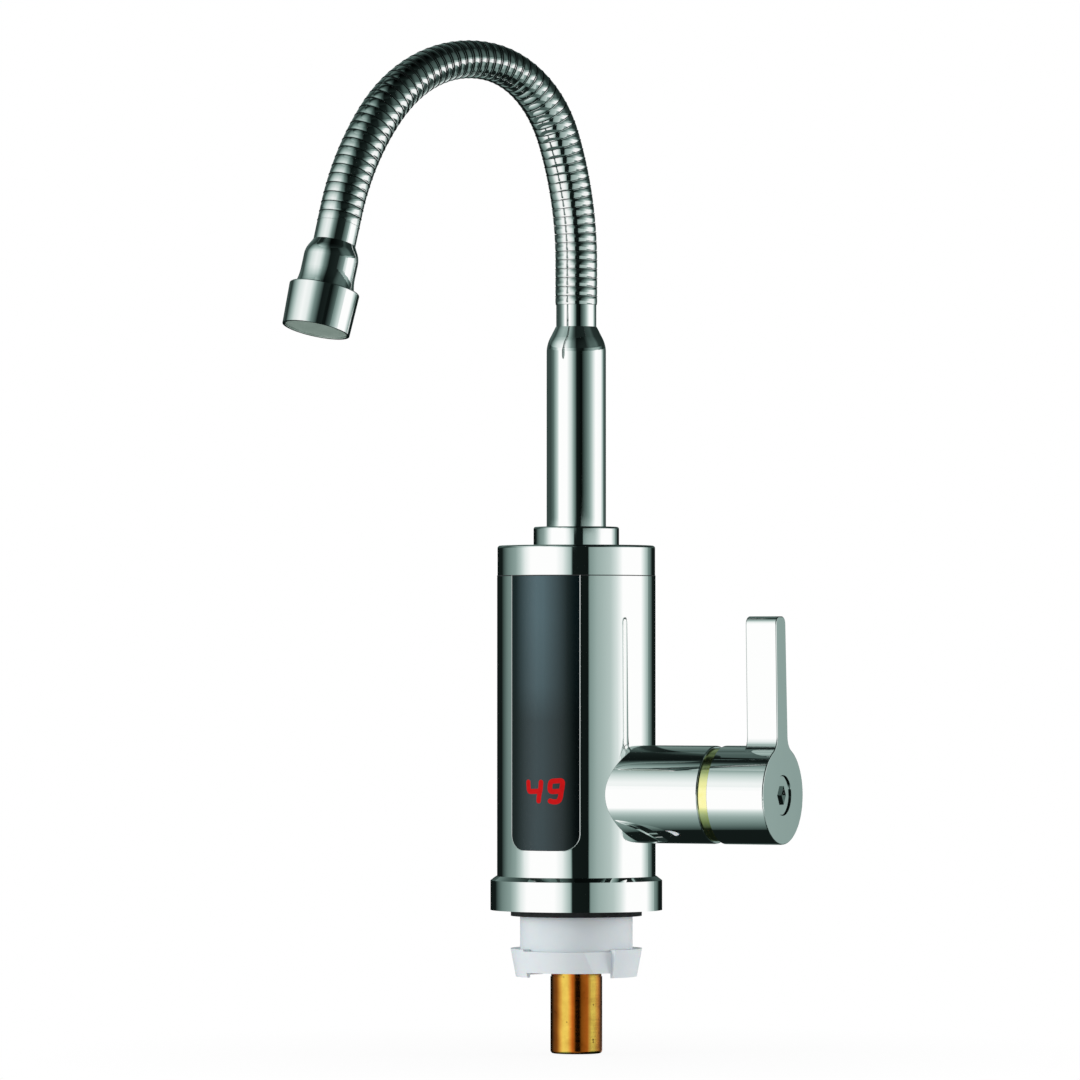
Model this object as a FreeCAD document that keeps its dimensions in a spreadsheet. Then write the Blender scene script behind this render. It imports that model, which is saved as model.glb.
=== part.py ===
import FreeCAD, Part
import math
import os
from types import SimpleNamespace

import Sketcher

# Electric hot water tap with a bendable gooseneck, in millimetres.
# The origin is on the body's axis in the plane of the deck.
# +Z is up, the display faces -Y and the valve points to +X.

Vector = FreeCAD.Vector

SIZES = [
    # Clearances
    ("seat_clearance", 0.15, "between fixed pieces that locate each other"),
    ("running_clearance", 0.05, "between round pieces that turn or slide in each other"),
    ("thread_clearance", 0.3, "between a thread's crests and the bore round it"),
    # Deck gasket and base flange
    ("gasket_diameter", 49.6, "deck gasket, outside"),
    ("gasket_thickness", 3.2, "deck gasket, seated in the flange's groove"),
    ("gasket_gap", 2.2, "flange's underside over the deck"),
    ("flange_overhang", 2.5, "base flange's rim outside the shell"),
    ("flange_height", 12.8, "base flange, underside to the shell's seat"),
    ("flange_rim_height", 11.2, "base flange, upright part of its rim"),
    ("flange_ledge", 0.4, "flange's seat that shows outside the shell"),
    ("flange_web", 4.5, "flange's floor"),
    ("flange_spigot", 3.0, "flange's spigot inside the shell"),
    ("spigot_wall", 2.8, "wall of that spigot"),
    # Shank, lock nut and inlet pipe
    ("shank_drop", 21.0, "shank's lower end below the deck"),
    ("shank_wall", 2.3, "shank's wall"),
    ("shank_floor", 5.0, "shank's floor, which carries the grommet"),
    ("shank_plate", 4.0, "shank's plate inside the flange"),
    ("nut_drop", 12.3, "lock nut's top below the deck"),
    ("nut_height", 10.6, "lock nut over its ears"),
    ("nut_top_diameter", 49.8, "lock nut over its ears, at the top"),
    ("nut_lug", 2.5, "ears' height over the facets beside them, at the top"),
    ("nut_wall", 0.8, "lock nut's wall where a facet meets an ear"),
    ("nut_draft", 2.0, "ears' slope inwards from top to bottom"),
    ("nut_ring_drop", 0.7, "lock nut's plain ring below the ears' tops"),
    ("nut_ring_rise", 1.8, "lock nut's plain ring above the ears' bottoms"),
    ("nut_facet_start", 6.4, "start of a facet, from the middle of the plain ring"),
    ("nut_facet_dip", 0.8, "start of a facet, within the ears' radius"),
    ("pipe_diameter", 19.6, "inlet pipe, outside"),
    ("pipe_wall", 1.4, "inlet pipe's wall"),
    ("pipe_spigot_diameter", 19.0, "inlet pipe inside the shank"),
    ("pipe_shoulder", 2.0, "inlet pipe's shoulder below the shank"),
    ("pipe_drop", 52.0, "inlet pipe's lower end below the deck"),
    ("pipe_round", 1.1, "rounding of the pipe's lower rim"),
    ("pipe_socket_depth", 9.0, "inlet pipe's socket in the water block"),
    ("pipe_seal_thickness", 1.5, "seal at the end of the inlet pipe"),
    ("cable_hole_diameter", 5.6, "cable's way through the shank's plate"),
    ("grommet_room", 0.5, "grommet's lips from the shank's wall and from the pipe"),
    ("grommet_lip", 1.0, "grommet's lips, wide and thick"),
    ("grommet_wall", 0.9, "grommet's wall round the cable"),
    # Water block and its screws
    ("block_height", 12.0, "water block"),
    ("block_clearance", 0.5, "water block inside the shell"),
    ("cable_slot_width", 6.0, "slot for the cable up the water block's side"),
    ("chassis_screw_diameter", 3.5, "screws that hold the block to the shank"),
    ("chassis_screw_depth", 7.0, "their length in the block"),
    ("chassis_head_diameter", 6.5, "their heads"),
    ("chassis_head_height", 2.6, "their heads"),
    # Heating chamber, lid and heating element
    ("chamber_room", 10.0, "between the heating chamber and the shell"),
    ("chamber_wall", 2.0, "heating chamber's wall"),
    ("chamber_floor", 3.0, "heating chamber's floor"),
    ("chamber_height", 81.0, "heating chamber, floor to rim"),
    ("rim_width", 4.3, "heating chamber's rim, and the lid, beyond its wall"),
    ("rim_thickness", 4.0, "heating chamber's rim"),
    ("seal_inset", 0.4, "chamber seal's groove outside the bore"),
    ("seal_width", 1.6, "chamber seal"),
    ("seal_thickness", 1.2, "chamber seal"),
    ("lid_thickness", 4.0, "chamber lid"),
    ("lid_spigot", 2.0, "lid's spigot in the chamber"),
    ("outlet_bore", 7.0, "water's way through the lid"),
    ("lid_screw_inset", 2.2, "lid screws from the lid's edge"),
    ("lid_screw_diameter", 3.0, "lid screws"),
    ("lid_head_diameter", 5.5, "lid screws' heads"),
    ("lid_head_height", 2.4, "lid screws' heads"),
    ("element_diameter", 3.6, "heating element's rod"),
    ("element_gap", 0.5, "hairpins' legs from the chamber's wall"),
    ("element_terminal", 8.0, "hairpins' ends above the lid"),
    ("element_depth", 48.0, "hairpins' straight legs below the lid"),
    ("cutout_inset", 0.9, "thermal cut-out from the lid's edge"),
    ("cutout_diameter", 9.2, "thermal cut-out"),
    ("cutout_height", 4.6, "thermal cut-out"),
    ("cutout_foot", 1.2, "thermal cut-out's foot"),
    ("sensor_gap", 0.5, "temperature sensor from the chamber's wall"),
    ("sensor_diameter", 3.2, "temperature sensor's stem"),
    ("sensor_depth", 24.0, "temperature sensor's stem below the lid's top"),
    ("sensor_head_diameter", 4.0, "temperature sensor's head"),
    ("sensor_head_height", 4.0, "temperature sensor's head"),
    # Body shell, display and cap
    ("body_diameter", 60.0, "body shell, outside"),
    ("shell_wall", 1.5, "body shell's wall"),
    ("shell_length", 113.5, "body shell"),
    ("window_width", 28.5, "display window"),
    ("window_sill", 10.1, "display window's lower edge above the shell's end"),
    ("window_round", 6.2, "display window's lower corners"),
    ("lens_recess", 0.1, "lens below the shell's face"),
    ("lens_lip", 2.0, "lens's lip behind the shell"),
    ("lens_lip_thickness", 1.4, "thickness of that lip"),
    ("cap_step", 0.15, "top cap's face inside the shell's face"),
    ("cap_height", 11.5, "top cap"),
    ("cap_plate", 2.0, "top cap's lid"),
    ("cap_spigot", 4.0, "top cap's spigot in the shell"),
    ("cap_wall", 1.8, "top cap's wall"),
    ("cap_round", 1.0, "rounding of the cap's top edge"),
    ("board_width", 24.0, "control board"),
    ("board_height", 99.0, "control board"),
    ("board_thickness", 1.6, "control board"),
    ("board_gap", 1.5, "control board in front of the chamber"),
    ("display_width", 19.0, "display module"),
    ("display_height", 14.0, "display module"),
    ("display_depth", 2.6, "display module"),
    ("display_level", 47.5, "middle of the readout over the deck"),
    ("relay_width", 18.0, "relay on the back of the board"),
    ("relay_height", 11.0, "relay"),
    ("relay_depth", 6.0, "relay"),
    # Flow switch
    ("plunger_inset", 5.9, "flow switch plunger from the shell"),
    ("plunger_diameter", 4.0, "flow switch plunger"),
    ("plunger_length", 8.0, "flow switch plunger"),
    ("plunger_reach", 0.6, "plunger above the water block at rest"),
    ("plunger_well", 9.0, "plunger's bore in the water block"),
    ("switch_width", 19.0, "microswitch"),
    ("switch_depth", 6.2, "microswitch"),
    ("switch_height", 10.0, "microswitch"),
    ("switch_well_diameter", 5.6, "recess under the microswitch that takes the plunger"),
    ("switch_well_depth", 3.0, "that recess"),
    # Valve
    ("valve_level", 46.2, "valve's axis over the deck"),
    ("valve_shift", 2.2, "valve's axis in front of the body's axis"),
    ("valve_gap", 0.6, "valve body's inner end from the chamber"),
    ("valve_body_diameter", 26.0, "valve body"),
    ("valve_plain", 16.0, "valve body's plain part beyond the shell"),
    ("valve_thread_diameter", 24.0, "valve body's thread"),
    ("valve_reach", 27.1, "valve body beyond the shell"),
    ("cartridge_pocket", 26.0, "depth of the cartridge's seat in the valve body"),
    ("cartridge_diameter", 19.8, "cartridge"),
    ("cartridge_length", 20.0, "cartridge"),
    ("disc_diameter", 16.0, "ceramic discs"),
    ("disc_thickness", 2.9, "ceramic discs"),
    ("port_offset", 4.8, "valve's two ports from its axis"),
    ("port_diameter", 5.2, "valve's two ports"),
    ("nipple_diameter", 9.8, "valve body's nipple in the chamber's wall"),
    ("shell_hole_clearance", 0.8, "round the valve body where it leaves the shell"),
    ("feed_inset", 5.3, "feed tube from the shell"),
    ("feed_diameter", 8.0, "feed tube"),
    ("feed_wall", 1.0, "feed tube's wall"),
    ("feed_depth", 4.0, "feed tube's socket in the water block"),
    ("feed_entry", 5.0, "feed tube's socket in the valve body"),
    ("stem_diameter", 10.0, "cartridge stem"),
    ("stem_square", 7.0, "stem's square drive"),
    ("stem_plain", 22.0, "stem's round part beyond the shell"),
    ("stem_reach", 47.1, "stem beyond the shell"),
    ("sleeve_diameter", 36.8, "valve sleeve, outside"),
    ("sleeve_wall", 2.0, "valve sleeve's wall"),
    ("sleeve_reach", 29.6, "valve sleeve beyond the shell"),
    ("sleeve_round", 0.5, "rounding of the sleeve's end"),
    ("saddle_clearance", 0.05, "valve sleeve's saddle from the shell"),
    ("bonnet_flange_diameter", 35.0, "bonnet nut's flange, seen as a brass ring"),
    ("bonnet_flange_thickness", 3.5, "bonnet nut's flange"),
    ("bonnet_diameter", 31.6, "bonnet nut inside the sleeve"),
    ("bonnet_skirt", 9.5, "bonnet nut's skirt over the valve body's thread"),
    ("bonnet_wall", 2.35, "floor of the bonnet nut beyond the valve body"),
    ("stem_gap", 0.6, "round the stem in the bonnet nut"),
    # Lever handle
    ("handle_gap", 0.5, "between the bonnet nut and the handle"),
    ("handle_diameter", 36.9, "handle's barrel"),
    ("handle_reach", 56.6, "handle's end face beyond the shell"),
    ("handle_cup_diameter", 29.0, "hollow in the handle's barrel"),
    ("handle_hub", 16.0, "solid hub behind the handle's end face"),
    ("handle_round", 0.4, "rounding of the handle's end edge"),
    ("drive_depth", 7.0, "square socket for the stem"),
    ("lever_length", 66.8, "lever's top from the valve's axis"),
    ("lever_width", 12.6, "lever bar along the valve's axis"),
    ("lever_root_thickness", 9.7, "lever bar at the barrel"),
    ("lever_tip_thickness", 8.7, "lever bar at its top"),
    ("lever_flare", 6.0, "flare from the barrel into the bar"),
    ("lever_lean", 2.0, "lever's top in front of the valve's axis"),
    ("lever_crown", 3.0, "rounding over the lever's top, front and back"),
    ("lever_side_round", 0.7, "rounding of the lever's edges towards the body"),
    ("recess_diameter", 15.2, "recess in the end face round the screw"),
    ("recess_depth", 3.0, "that recess"),
    ("screw_diameter", 5.0, "handle screw"),
    ("screw_length", 15.0, "handle screw under its head"),
    ("screw_head_diameter", 14.4, "handle screw's head"),
    ("screw_head_height", 2.4, "handle screw's head"),
    ("screw_hole_depth", 8.5, "screw's hole in the stem"),
    ("hexagon_size", 7.0, "handle screw's socket across its flats"),
    ("hexagon_depth", 1.8, "handle screw's socket"),
    # Swivel and spout tube
    ("collar_diameter", 32.4, "swivel collar, outside"),
    ("collar_height", 7.1, "swivel collar"),
    ("collar_round", 0.8, "rounding of the collar's top edge"),
    ("slip_thickness", 0.6, "slip ring under the spout's flange"),
    ("swivel_flange_diameter", 26.0, "spout's flange inside the collar"),
    ("swivel_flange_thickness", 2.5, "spout's flange"),
    ("swivel_play", 0.15, "spout's flange up and down"),
    ("spigot_diameter", 14.0, "spout's spigot in its socket"),
    ("spigot_length", 22.5, "spout's spigot"),
    ("socket_wall", 2.2, "spout socket's wall on the chamber lid"),
    ("ring_section", 1.7, "O-rings' section"),
    ("ring_groove_width", 2.4, "O-rings' grooves"),
    ("ring_first", 5.0, "first O-ring above the spigot's end"),
    ("ring_spacing", 7.0, "between the O-rings"),
    ("spout_tube_diameter", 22.5, "spout tube, outside"),
    ("spout_tube_wall", 1.6, "spout tube's wall"),
    ("spout_tube_length", 69.0, "spout tube, collar to taper"),
    ("taper_length", 6.8, "spout tube's tapered shoulder"),
    ("taper_round", 12.0, "rounding between that shoulder and the tube"),
    ("neck_diameter", 15.6, "spout tube's upper end"),
    # Gooseneck
    ("spout_swing", 24.0, "degrees, spout's plane to the left of the front"),
    ("ferrule_diameter", 15.2, "lower ferrule"),
    ("ferrule_length", 8.3, "lower ferrule"),
    ("ferrule_spigot_diameter", 13.0, "ferrules' spigots"),
    ("ferrule_spigot_length", 6.0, "ferrules' spigots"),
    ("upper_ferrule_diameter", 15.8, "upper ferrule"),
    ("upper_ferrule_length", 7.2, "upper ferrule"),
    ("hose_start_run", 16.0, "hose's straight run from the lower ferrule"),
    ("hose_rise_radius", 128.9, "first arc of the hose"),
    ("hose_rise_turn", 21.4, "degrees, first arc"),
    ("hose_crown_radius", 41.65, "second arc, over the top"),
    ("hose_crown_turn", 62.2, "degrees, second arc"),
    ("hose_fall_radius", 58.5, "third arc"),
    ("hose_fall_turn", 58.8, "degrees, third arc"),
    ("hose_tail_radius", 102.5, "fourth arc"),
    ("hose_tail_turn", 22.6, "degrees, fourth arc"),
    ("hose_end_run", 5.0, "hose's straight run to the upper ferrule"),
    ("rib_diameter", 15.5, "a rib at its low edge"),
    ("rib_lip_diameter", 16.0, "a rib at its raised lip"),
    ("rib_groove_diameter", 14.7, "groove between two ribs"),
    ("rib_gap", 1.1, "from a rib's lip to the next rib"),
    ("rib_slope", 0.25, "sloping side of a rib"),
    ("hose_bore", 10.8, "hose's bore"),
    ("tongue_diameter", 12.8, "tongue by which a length of hose enters the next"),
    ("tongue_wall", 0.8, "tongue's wall"),
    ("tongue_length", 2.0, "tongue"),
    ("tongue_room", 0.4, "round the tongue"),
    ("tongue_well", 2.4, "counterbore that takes the tongue"),
    ("water_tube_diameter", 9.8, "water tube in the hose, outside"),
    ("water_tube_wall", 1.5, "water tube's wall"),
    # Outlet
    ("adapter_diameter", 20.3, "outlet adapter's barrel"),
    ("adapter_length", 17.5, "outlet adapter"),
    ("adapter_shoulder", 4.2, "adapter's sloping shoulder"),
    ("adapter_shoulder_round", 8.0, "rounding between that shoulder and the barrel"),
    ("adapter_foot", 3.6, "flared foot of the adapter"),
    ("adapter_flare", 0.9, "that foot beyond the adapter's barrel"),
    ("adapter_hollow", 20.0, "hollow between the barrel and that foot"),
    ("adapter_boss_diameter", 19.0, "adapter's boss in the aerator housing"),
    ("adapter_boss_length", 6.0, "adapter's boss"),
    ("adapter_bore", 10.0, "adapter's bore"),
    ("aerator_top_diameter", 26.2, "aerator housing at its top"),
    ("aerator_mouth_diameter", 25.2, "aerator housing at its mouth"),
    ("aerator_length", 15.8, "aerator housing"),
    ("aerator_plate", 2.5, "aerator housing's shoulder"),
    ("aerator_rim", 1.0, "aerator housing's wall at its mouth"),
    ("aerator_round", 0.5, "rounding of the housing's top edge"),
    ("aerator_seal_thickness", 1.5, "aerator gasket"),
    ("insert_recess", 0.5, "aerator insert inside the mouth"),
    ("insert_well_depth", 3.0, "hollow in the insert's back"),
    ("insert_wall", 1.5, "insert's wall"),
]

# Counts of what repeats
CHASSIS_SCREWS = 3
LID_SCREWS = 4
NUT_EARS = 2
O_RINGS = 2
ELEMENT_LEGS = 4
HOSE_PIECES = 7
RIBS_PER_PIECE = 9

# Where the lock nut stops, in degrees
NUT_TURN = -73

doc = FreeCAD.newDocument("hot_water_tap")
sheet = doc.addObject("Spreadsheet::Sheet", "sizes")
for row, (alias, number, meaning) in enumerate(SIZES, start=1):
    sheet.set(f"A{row}", alias)
    sheet.set(f"B{row}", str(number))
    sheet.set(f"C{row}", meaning)
    sheet.setAlias(f"B{row}", alias)
doc.recompute()


# Sizes that carry both a formula for the document and its present value
class Formula:
    def __init__(self, text, value):
        self.text = text
        self.value = value

    def __add__(self, other):
        other = as_formula(other)
        return Formula(f"({self.text} + {other.text})", self.value + other.value)

    def __radd__(self, other):
        return as_formula(other) + self

    def __sub__(self, other):
        other = as_formula(other)
        return Formula(f"({self.text} - {other.text})", self.value - other.value)

    def __rsub__(self, other):
        return as_formula(other) - self

    def __mul__(self, other):
        other = as_formula(other)
        return Formula(f"({self.text} * {other.text})", self.value * other.value)

    def __truediv__(self, other):
        other = as_formula(other)
        return Formula(f"({self.text} / {other.text})", self.value / other.value)

    def __neg__(self):
        return Formula(f"(0 - {self.text})", -self.value)


def as_formula(number):
    if isinstance(number, Formula):
        return number
    return Formula(f"({number:.9f})", number)


s = SimpleNamespace(**{alias: Formula(f"sizes.{alias}", float(sheet.get(alias))) for alias, _, _ in SIZES})

# Levels and radii that several pieces share
shell_radius = s.body_diameter / 2
shell_inside = shell_radius - s.shell_wall
flange_top = s.gasket_gap + s.flange_height
spigot_top = flange_top + s.flange_spigot
cup_radius = shell_inside - s.seat_clearance - s.spigot_wall
web_top = s.gasket_gap + s.flange_web
plate_top = web_top + s.shank_plate
block_top = plate_top + s.block_height
nut_top_radius = s.nut_top_diameter / 2
nut_root = nut_top_radius - s.nut_lug
nut_bore = nut_root - s.nut_wall
shank_radius = nut_bore - s.thread_clearance
shank_hollow = shank_radius - s.shank_wall
pipe_radius = s.pipe_diameter / 2
pipe_spigot = s.pipe_spigot_diameter / 2
pipe_bore = pipe_radius - s.pipe_wall
pipe_hole = pipe_spigot + s.seat_clearance
hollow_middle = (shank_hollow + pipe_hole) / 2
grommet_edge = (shank_hollow - pipe_hole) / 2 - s.grommet_room
grommet_waist = grommet_edge - s.grommet_lip
plunger_offset = shell_inside - s.plunger_inset
feed_offset = shell_inside - s.feed_inset
chamber_top = block_top + s.chamber_height
chamber_radius = shell_inside - s.chamber_room
chamber_inside = chamber_radius - s.chamber_wall
rim_radius = chamber_radius + s.rim_width
element_circle = chamber_inside - s.element_gap - s.element_diameter / 2
element_reach = element_circle * math.cos(math.pi / ELEMENT_LEGS)
sensor_offset = chamber_inside - s.sensor_gap - s.sensor_diameter / 2
lid_top = chamber_top + s.lid_thickness
shell_top = flange_top + s.shell_length
cap_top = shell_top + s.cap_height
cap_plate_bottom = cap_top - s.cap_plate
collar_top = cap_top + s.collar_height
window_bottom = flange_top + s.window_sill
swivel_bottom = cap_top + s.slip_thickness + s.running_clearance
swivel_top = swivel_bottom + s.swivel_flange_thickness
spout_bottom = swivel_bottom - s.spigot_length
spout_shoulder = collar_top + s.spout_tube_length
neck_top = spout_shoulder + s.taper_length
hose_bottom = neck_top + s.ferrule_length
valve_end = shell_radius + s.valve_reach
valve_seat = valve_end - s.cartridge_pocket
stem_shoulder = shell_radius + s.stem_plain
stem_end = shell_radius + s.stem_reach
sleeve_end = shell_radius + s.sleeve_reach
handle_start = sleeve_end + s.bonnet_flange_thickness + s.handle_gap
handle_end = shell_radius + s.handle_reach
hub_start = handle_end - s.handle_hub
lens_inside = shell_inside - s.seat_clearance - s.lens_lip_thickness
board_back = -(chamber_radius + s.board_gap)
board_front = board_back - s.board_thickness
both_ends = (cap_top + s.shank_drop) * 2


# Sketches and features
def bind(thing, name, size):
    thing.setExpression(name, as_formula(size).text)


def new_body(name):
    body = doc.addObject("PartDesign::Body", name)
    body.Label = name
    return body


def origin_feature(body, role):
    return next(feature for feature in body.Origin.OriginFeatures if feature.Role == role)


def new_sketch(body, name, plane, level=None):
    sketch = body.newObject("Sketcher::SketchObject", name)
    sketch.AttachmentSupport = [(origin_feature(body, plane), "")]
    sketch.MapMode = "FlatFace"
    if level is not None:
        bind(sketch, "AttachmentOffset.Base.z", level)
    return sketch


def hold_point(sketch, geometry, point, place):
    """Tie a point of the sketch to its place, measured from the sketch's origin."""
    for direction, axis, size in (("DistanceX", -2, place[0]), ("DistanceY", -1, place[1])):
        size = as_formula(size)
        if size.text == as_formula(0).text:
            sketch.addConstraint(Sketcher.Constraint("PointOnObject", geometry, point, axis))
        else:
            index = sketch.addConstraint(
                Sketcher.Constraint(direction, -1, 1, geometry, point, size.value)
            )
            bind(sketch, f"Constraints[{index}]", size)


def draw_outline(sketch, corners):
    """Draw a closed outline through its corners."""
    first = sketch.GeometryCount
    count = len(corners)
    points = [Vector(as_formula(x).value, as_formula(y).value, 0) for x, y in corners]
    for index in range(count):
        sketch.addGeometry(Part.LineSegment(points[index], points[(index + 1) % count]))
    for index in range(count):
        following = first + (index + 1) % count
        sketch.addConstraint(Sketcher.Constraint("Coincident", first + index, 2, following, 1))
        hold_point(sketch, first + index, 1, corners[index])


def draw_circle(sketch, place, radius):
    middle = Vector(as_formula(place[0]).value, as_formula(place[1]).value, 0)
    index = sketch.addGeometry(Part.Circle(middle, Vector(0, 0, 1), radius.value))
    hold_point(sketch, index, 3, place)
    held = sketch.addConstraint(Sketcher.Constraint("Radius", index, radius.value))
    bind(sketch, f"Constraints[{held}]", radius)


def turn_section(name, corners, about="V_Axis"):
    """Turn a section round the upright axis, or round the X axis for the pieces of the valve."""
    body = new_body(name)
    sketch = new_sketch(body, name + "_section", "XZ_Plane")
    draw_outline(sketch, corners)
    turned = body.newObject("PartDesign::Revolution", name + "_turned")
    turned.Profile = sketch
    turned.ReferenceAxis = (sketch, [about])
    turned.Angle = 360
    doc.recompute()
    return body


def pad(body, sketch, length, backwards=False):
    before = body.Tip.Shape.Volume if body.Tip else 0.0
    feature = body.newObject("PartDesign::Pad", sketch.Name + "_pad")
    feature.Profile = sketch
    feature.Reversed = backwards
    bind(feature, "Length", length)
    doc.recompute()
    assert feature.Shape.Volume > before + 0.01, f"{feature.Name} adds nothing"
    return feature


def pocket(body, sketch, length=None, forwards=False, both_ways=False):
    """Cut a pocket along the sketch's normal or against it, to a depth or right through."""
    before = body.Tip.Shape.Volume
    feature = body.newObject("PartDesign::Pocket", sketch.Name + "_pocket")
    feature.Profile = sketch
    feature.Reversed = forwards
    if both_ways:
        feature.SideType = "Symmetric"
    if length is None:
        feature.Type = "ThroughAll"
    else:
        bind(feature, "Length", length)
    doc.recompute()
    assert feature.Shape.Volume < before - 0.01, f"{feature.Name} cuts nothing"
    return feature


def repeat_round(body, feature, axis, count):
    pattern = body.newObject("PartDesign::PolarPattern", feature.Name + "_round")
    pattern.Originals = [feature]
    pattern.Axis = (origin_feature(body, axis), [""])
    pattern.Angle = 360
    pattern.Occurrences = count
    body.Tip = pattern
    doc.recompute()


def round_edges(body, radius, chosen):
    """Round the edges of the body's last feature that the test chooses."""
    base = body.Tip
    names = [f"Edge{index}" for index, edge in enumerate(base.Shape.Edges, start=1) if chosen(edge)]
    assert names, f"{body.Name} has no edge to round"
    fillet = body.newObject("PartDesign::Fillet", f"{base.Name}_round")
    fillet.Base = (base, names)
    bind(fillet, "Radius", radius)
    doc.recompute()


def is_near(number, size):
    return abs(number - as_formula(size).value) < 1e-4


def is_ring(edge, radius, axis, level):
    """Is the edge a full circle of this radius, at this level along the axis?"""
    return (
        isinstance(edge.Curve, Part.Circle)
        and is_near(edge.Curve.Radius, radius)
        and is_near(edge.Curve.Center.dot(axis), level)
    )


def round_ring(body, radius, ring_radius, level, axis=Vector(0, 0, 1)):
    round_edges(body, radius, lambda edge: is_ring(edge, ring_radius, axis, level))


def place(thing, x=0, y=0, z=0):
    for letter, size in (("x", x), ("y", y), ("z", z)):
        bind(thing, f"Placement.Base.{letter}", size)
    return thing


def box(name, width, depth, height, x, y, z):
    thing = doc.addObject("Part::Box", name)
    thing.Label = name
    bind(thing, "Length", width)
    bind(thing, "Width", depth)
    bind(thing, "Height", height)
    return place(thing, x, y, z)


def cylinder(name, radius, height, x=0, y=0, z=0):
    thing = doc.addObject("Part::Cylinder", name)
    bind(thing, "Radius", radius)
    bind(thing, "Height", height)
    return place(thing, x, y, z)


def group(name, pieces):
    """Put alike pieces into one sub-part."""
    thing = doc.addObject("Part::Compound", name)
    thing.Label = name
    thing.Links = pieces
    return thing


def screw(name, radius, start, length, head_radius, head_start, head_height, x, y):
    thing = doc.addObject("Part::Fuse", name)
    thing.Base = cylinder(name + "_shank", radius, length, x, y, start)
    thing.Tool = cylinder(name + "_head", head_radius, head_height, x, y, head_start)
    return thing


# Deck gasket, base flange, shank, nut and inlet pipe
def deck_gasket():
    inner = shank_radius + s.seat_clearance
    outer = s.gasket_diameter / 2
    return turn_section(
        "deck_gasket",
        [(inner, 0), (outer, 0), (outer, s.gasket_thickness), (inner, s.gasket_thickness)],
    )


def base_flange():
    bore = shank_radius + s.seat_clearance
    groove = s.gasket_diameter / 2 + s.seat_clearance
    outer = shell_radius + s.flange_overhang
    spigot = shell_inside - s.seat_clearance
    return turn_section(
        "base_flange",
        [
            (bore, s.gasket_thickness),
            (groove, s.gasket_thickness),
            (groove, s.gasket_gap),
            (outer, s.gasket_gap),
            (outer, s.gasket_gap + s.flange_rim_height),
            (shell_radius + s.flange_ledge, flange_top),
            (spigot, flange_top),
            (spigot, spigot_top),
            (cup_radius, spigot_top),
            (cup_radius, web_top),
            (bore, web_top),
        ],
    )


def threaded_shank():
    bottom = -s.shank_drop
    floor_top = bottom + s.shank_floor
    plate = cup_radius - s.seat_clearance
    body = turn_section(
        "threaded_shank",
        [
            (pipe_hole, bottom),
            (shank_radius, bottom),
            (shank_radius, web_top),
            (plate, web_top),
            (plate, plate_top),
            (pipe_hole, plate_top),
            (pipe_hole, web_top),
            (shank_hollow, web_top),
            (shank_hollow, floor_top),
            (pipe_hole, floor_top),
        ],
    )
    sketch = new_sketch(body, "grommet_hole", "XY_Plane", bottom)
    draw_circle(sketch, (-hollow_middle, 0), grommet_waist + s.seat_clearance)
    pocket(body, sketch, s.shank_floor, forwards=True)
    sketch = new_sketch(body, "cable_hole", "XY_Plane", plate_top)
    draw_circle(sketch, (-hollow_middle, 0), s.cable_hole_diameter / 2)
    pocket(body, sketch, s.shank_plate)
    sketch = new_sketch(body, "chassis_hole", "XY_Plane", plate_top)
    draw_circle(sketch, (hollow_middle, 0), s.chassis_screw_diameter / 2 + s.seat_clearance)
    repeat_round(body, pocket(body, sketch, s.shank_plate), "Z_Axis", CHASSIS_SCREWS)
    return body


def cable_grommet():
    bore = grommet_waist - s.grommet_wall
    bottom = -s.shank_drop
    top = bottom + s.shank_floor
    body = turn_section(
        "cable_grommet",
        [
            (bore, bottom - s.grommet_lip),
            (grommet_edge, bottom - s.grommet_lip),
            (grommet_edge, bottom),
            (grommet_waist, bottom),
            (grommet_waist, top),
            (grommet_edge, top),
            (grommet_edge, top + s.grommet_lip),
            (bore, top + s.grommet_lip),
        ],
    )
    return place(body, x=-hollow_middle)


def lock_nut():
    """A drafted ring with two tall ears, and a facet that runs in to the side of each ear."""
    top = -s.nut_drop
    bottom = top - s.nut_height
    nut_foot = nut_top_radius - s.nut_draft
    outside = nut_top_radius * 2
    body = turn_section(
        "lock_nut",
        [(nut_bore, bottom), (nut_foot, bottom), (nut_top_radius, top), (nut_bore, top)],
    )
    between_ears = [(0, 0), (outside, -outside), (outside, outside)]
    sketch = new_sketch(body, "ring_top", "XY_Plane", top)
    draw_outline(sketch, between_ears)
    repeat_round(body, pocket(body, sketch, s.nut_ring_drop), "Z_Axis", NUT_EARS)
    sketch = new_sketch(body, "ring_bottom", "XY_Plane", bottom)
    draw_outline(sketch, between_ears)
    repeat_round(body, pocket(body, sketch, s.nut_ring_rise, forwards=True), "Z_Axis", NUT_EARS)
    facet_end = nut_root * math.sqrt(0.5)
    sketch = new_sketch(body, "ring_facet", "XY_Plane", bottom)
    draw_outline(
        sketch,
        [
            (nut_top_radius - s.nut_facet_dip, s.nut_facet_start),
            (outside, s.nut_facet_start),
            (outside, outside),
            (facet_end, facet_end),
        ],
    )
    repeat_round(body, pocket(body, sketch, s.nut_height, forwards=True), "Z_Axis", NUT_EARS)
    body.Placement.Rotation = FreeCAD.Rotation(Vector(0, 0, 1), NUT_TURN)
    return body


def inlet_pipe():
    bottom = -s.pipe_drop
    shoulder = -(s.shank_drop + s.pipe_shoulder)
    top = plate_top + s.pipe_socket_depth - s.pipe_seal_thickness
    body = turn_section(
        "inlet_pipe",
        [
            (pipe_bore, bottom),
            (pipe_radius, bottom),
            (pipe_radius, shoulder),
            (pipe_spigot, shoulder),
            (pipe_spigot, top),
            (pipe_bore, top),
        ],
    )
    round_ring(body, s.pipe_round, pipe_radius, bottom)
    return body


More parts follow.
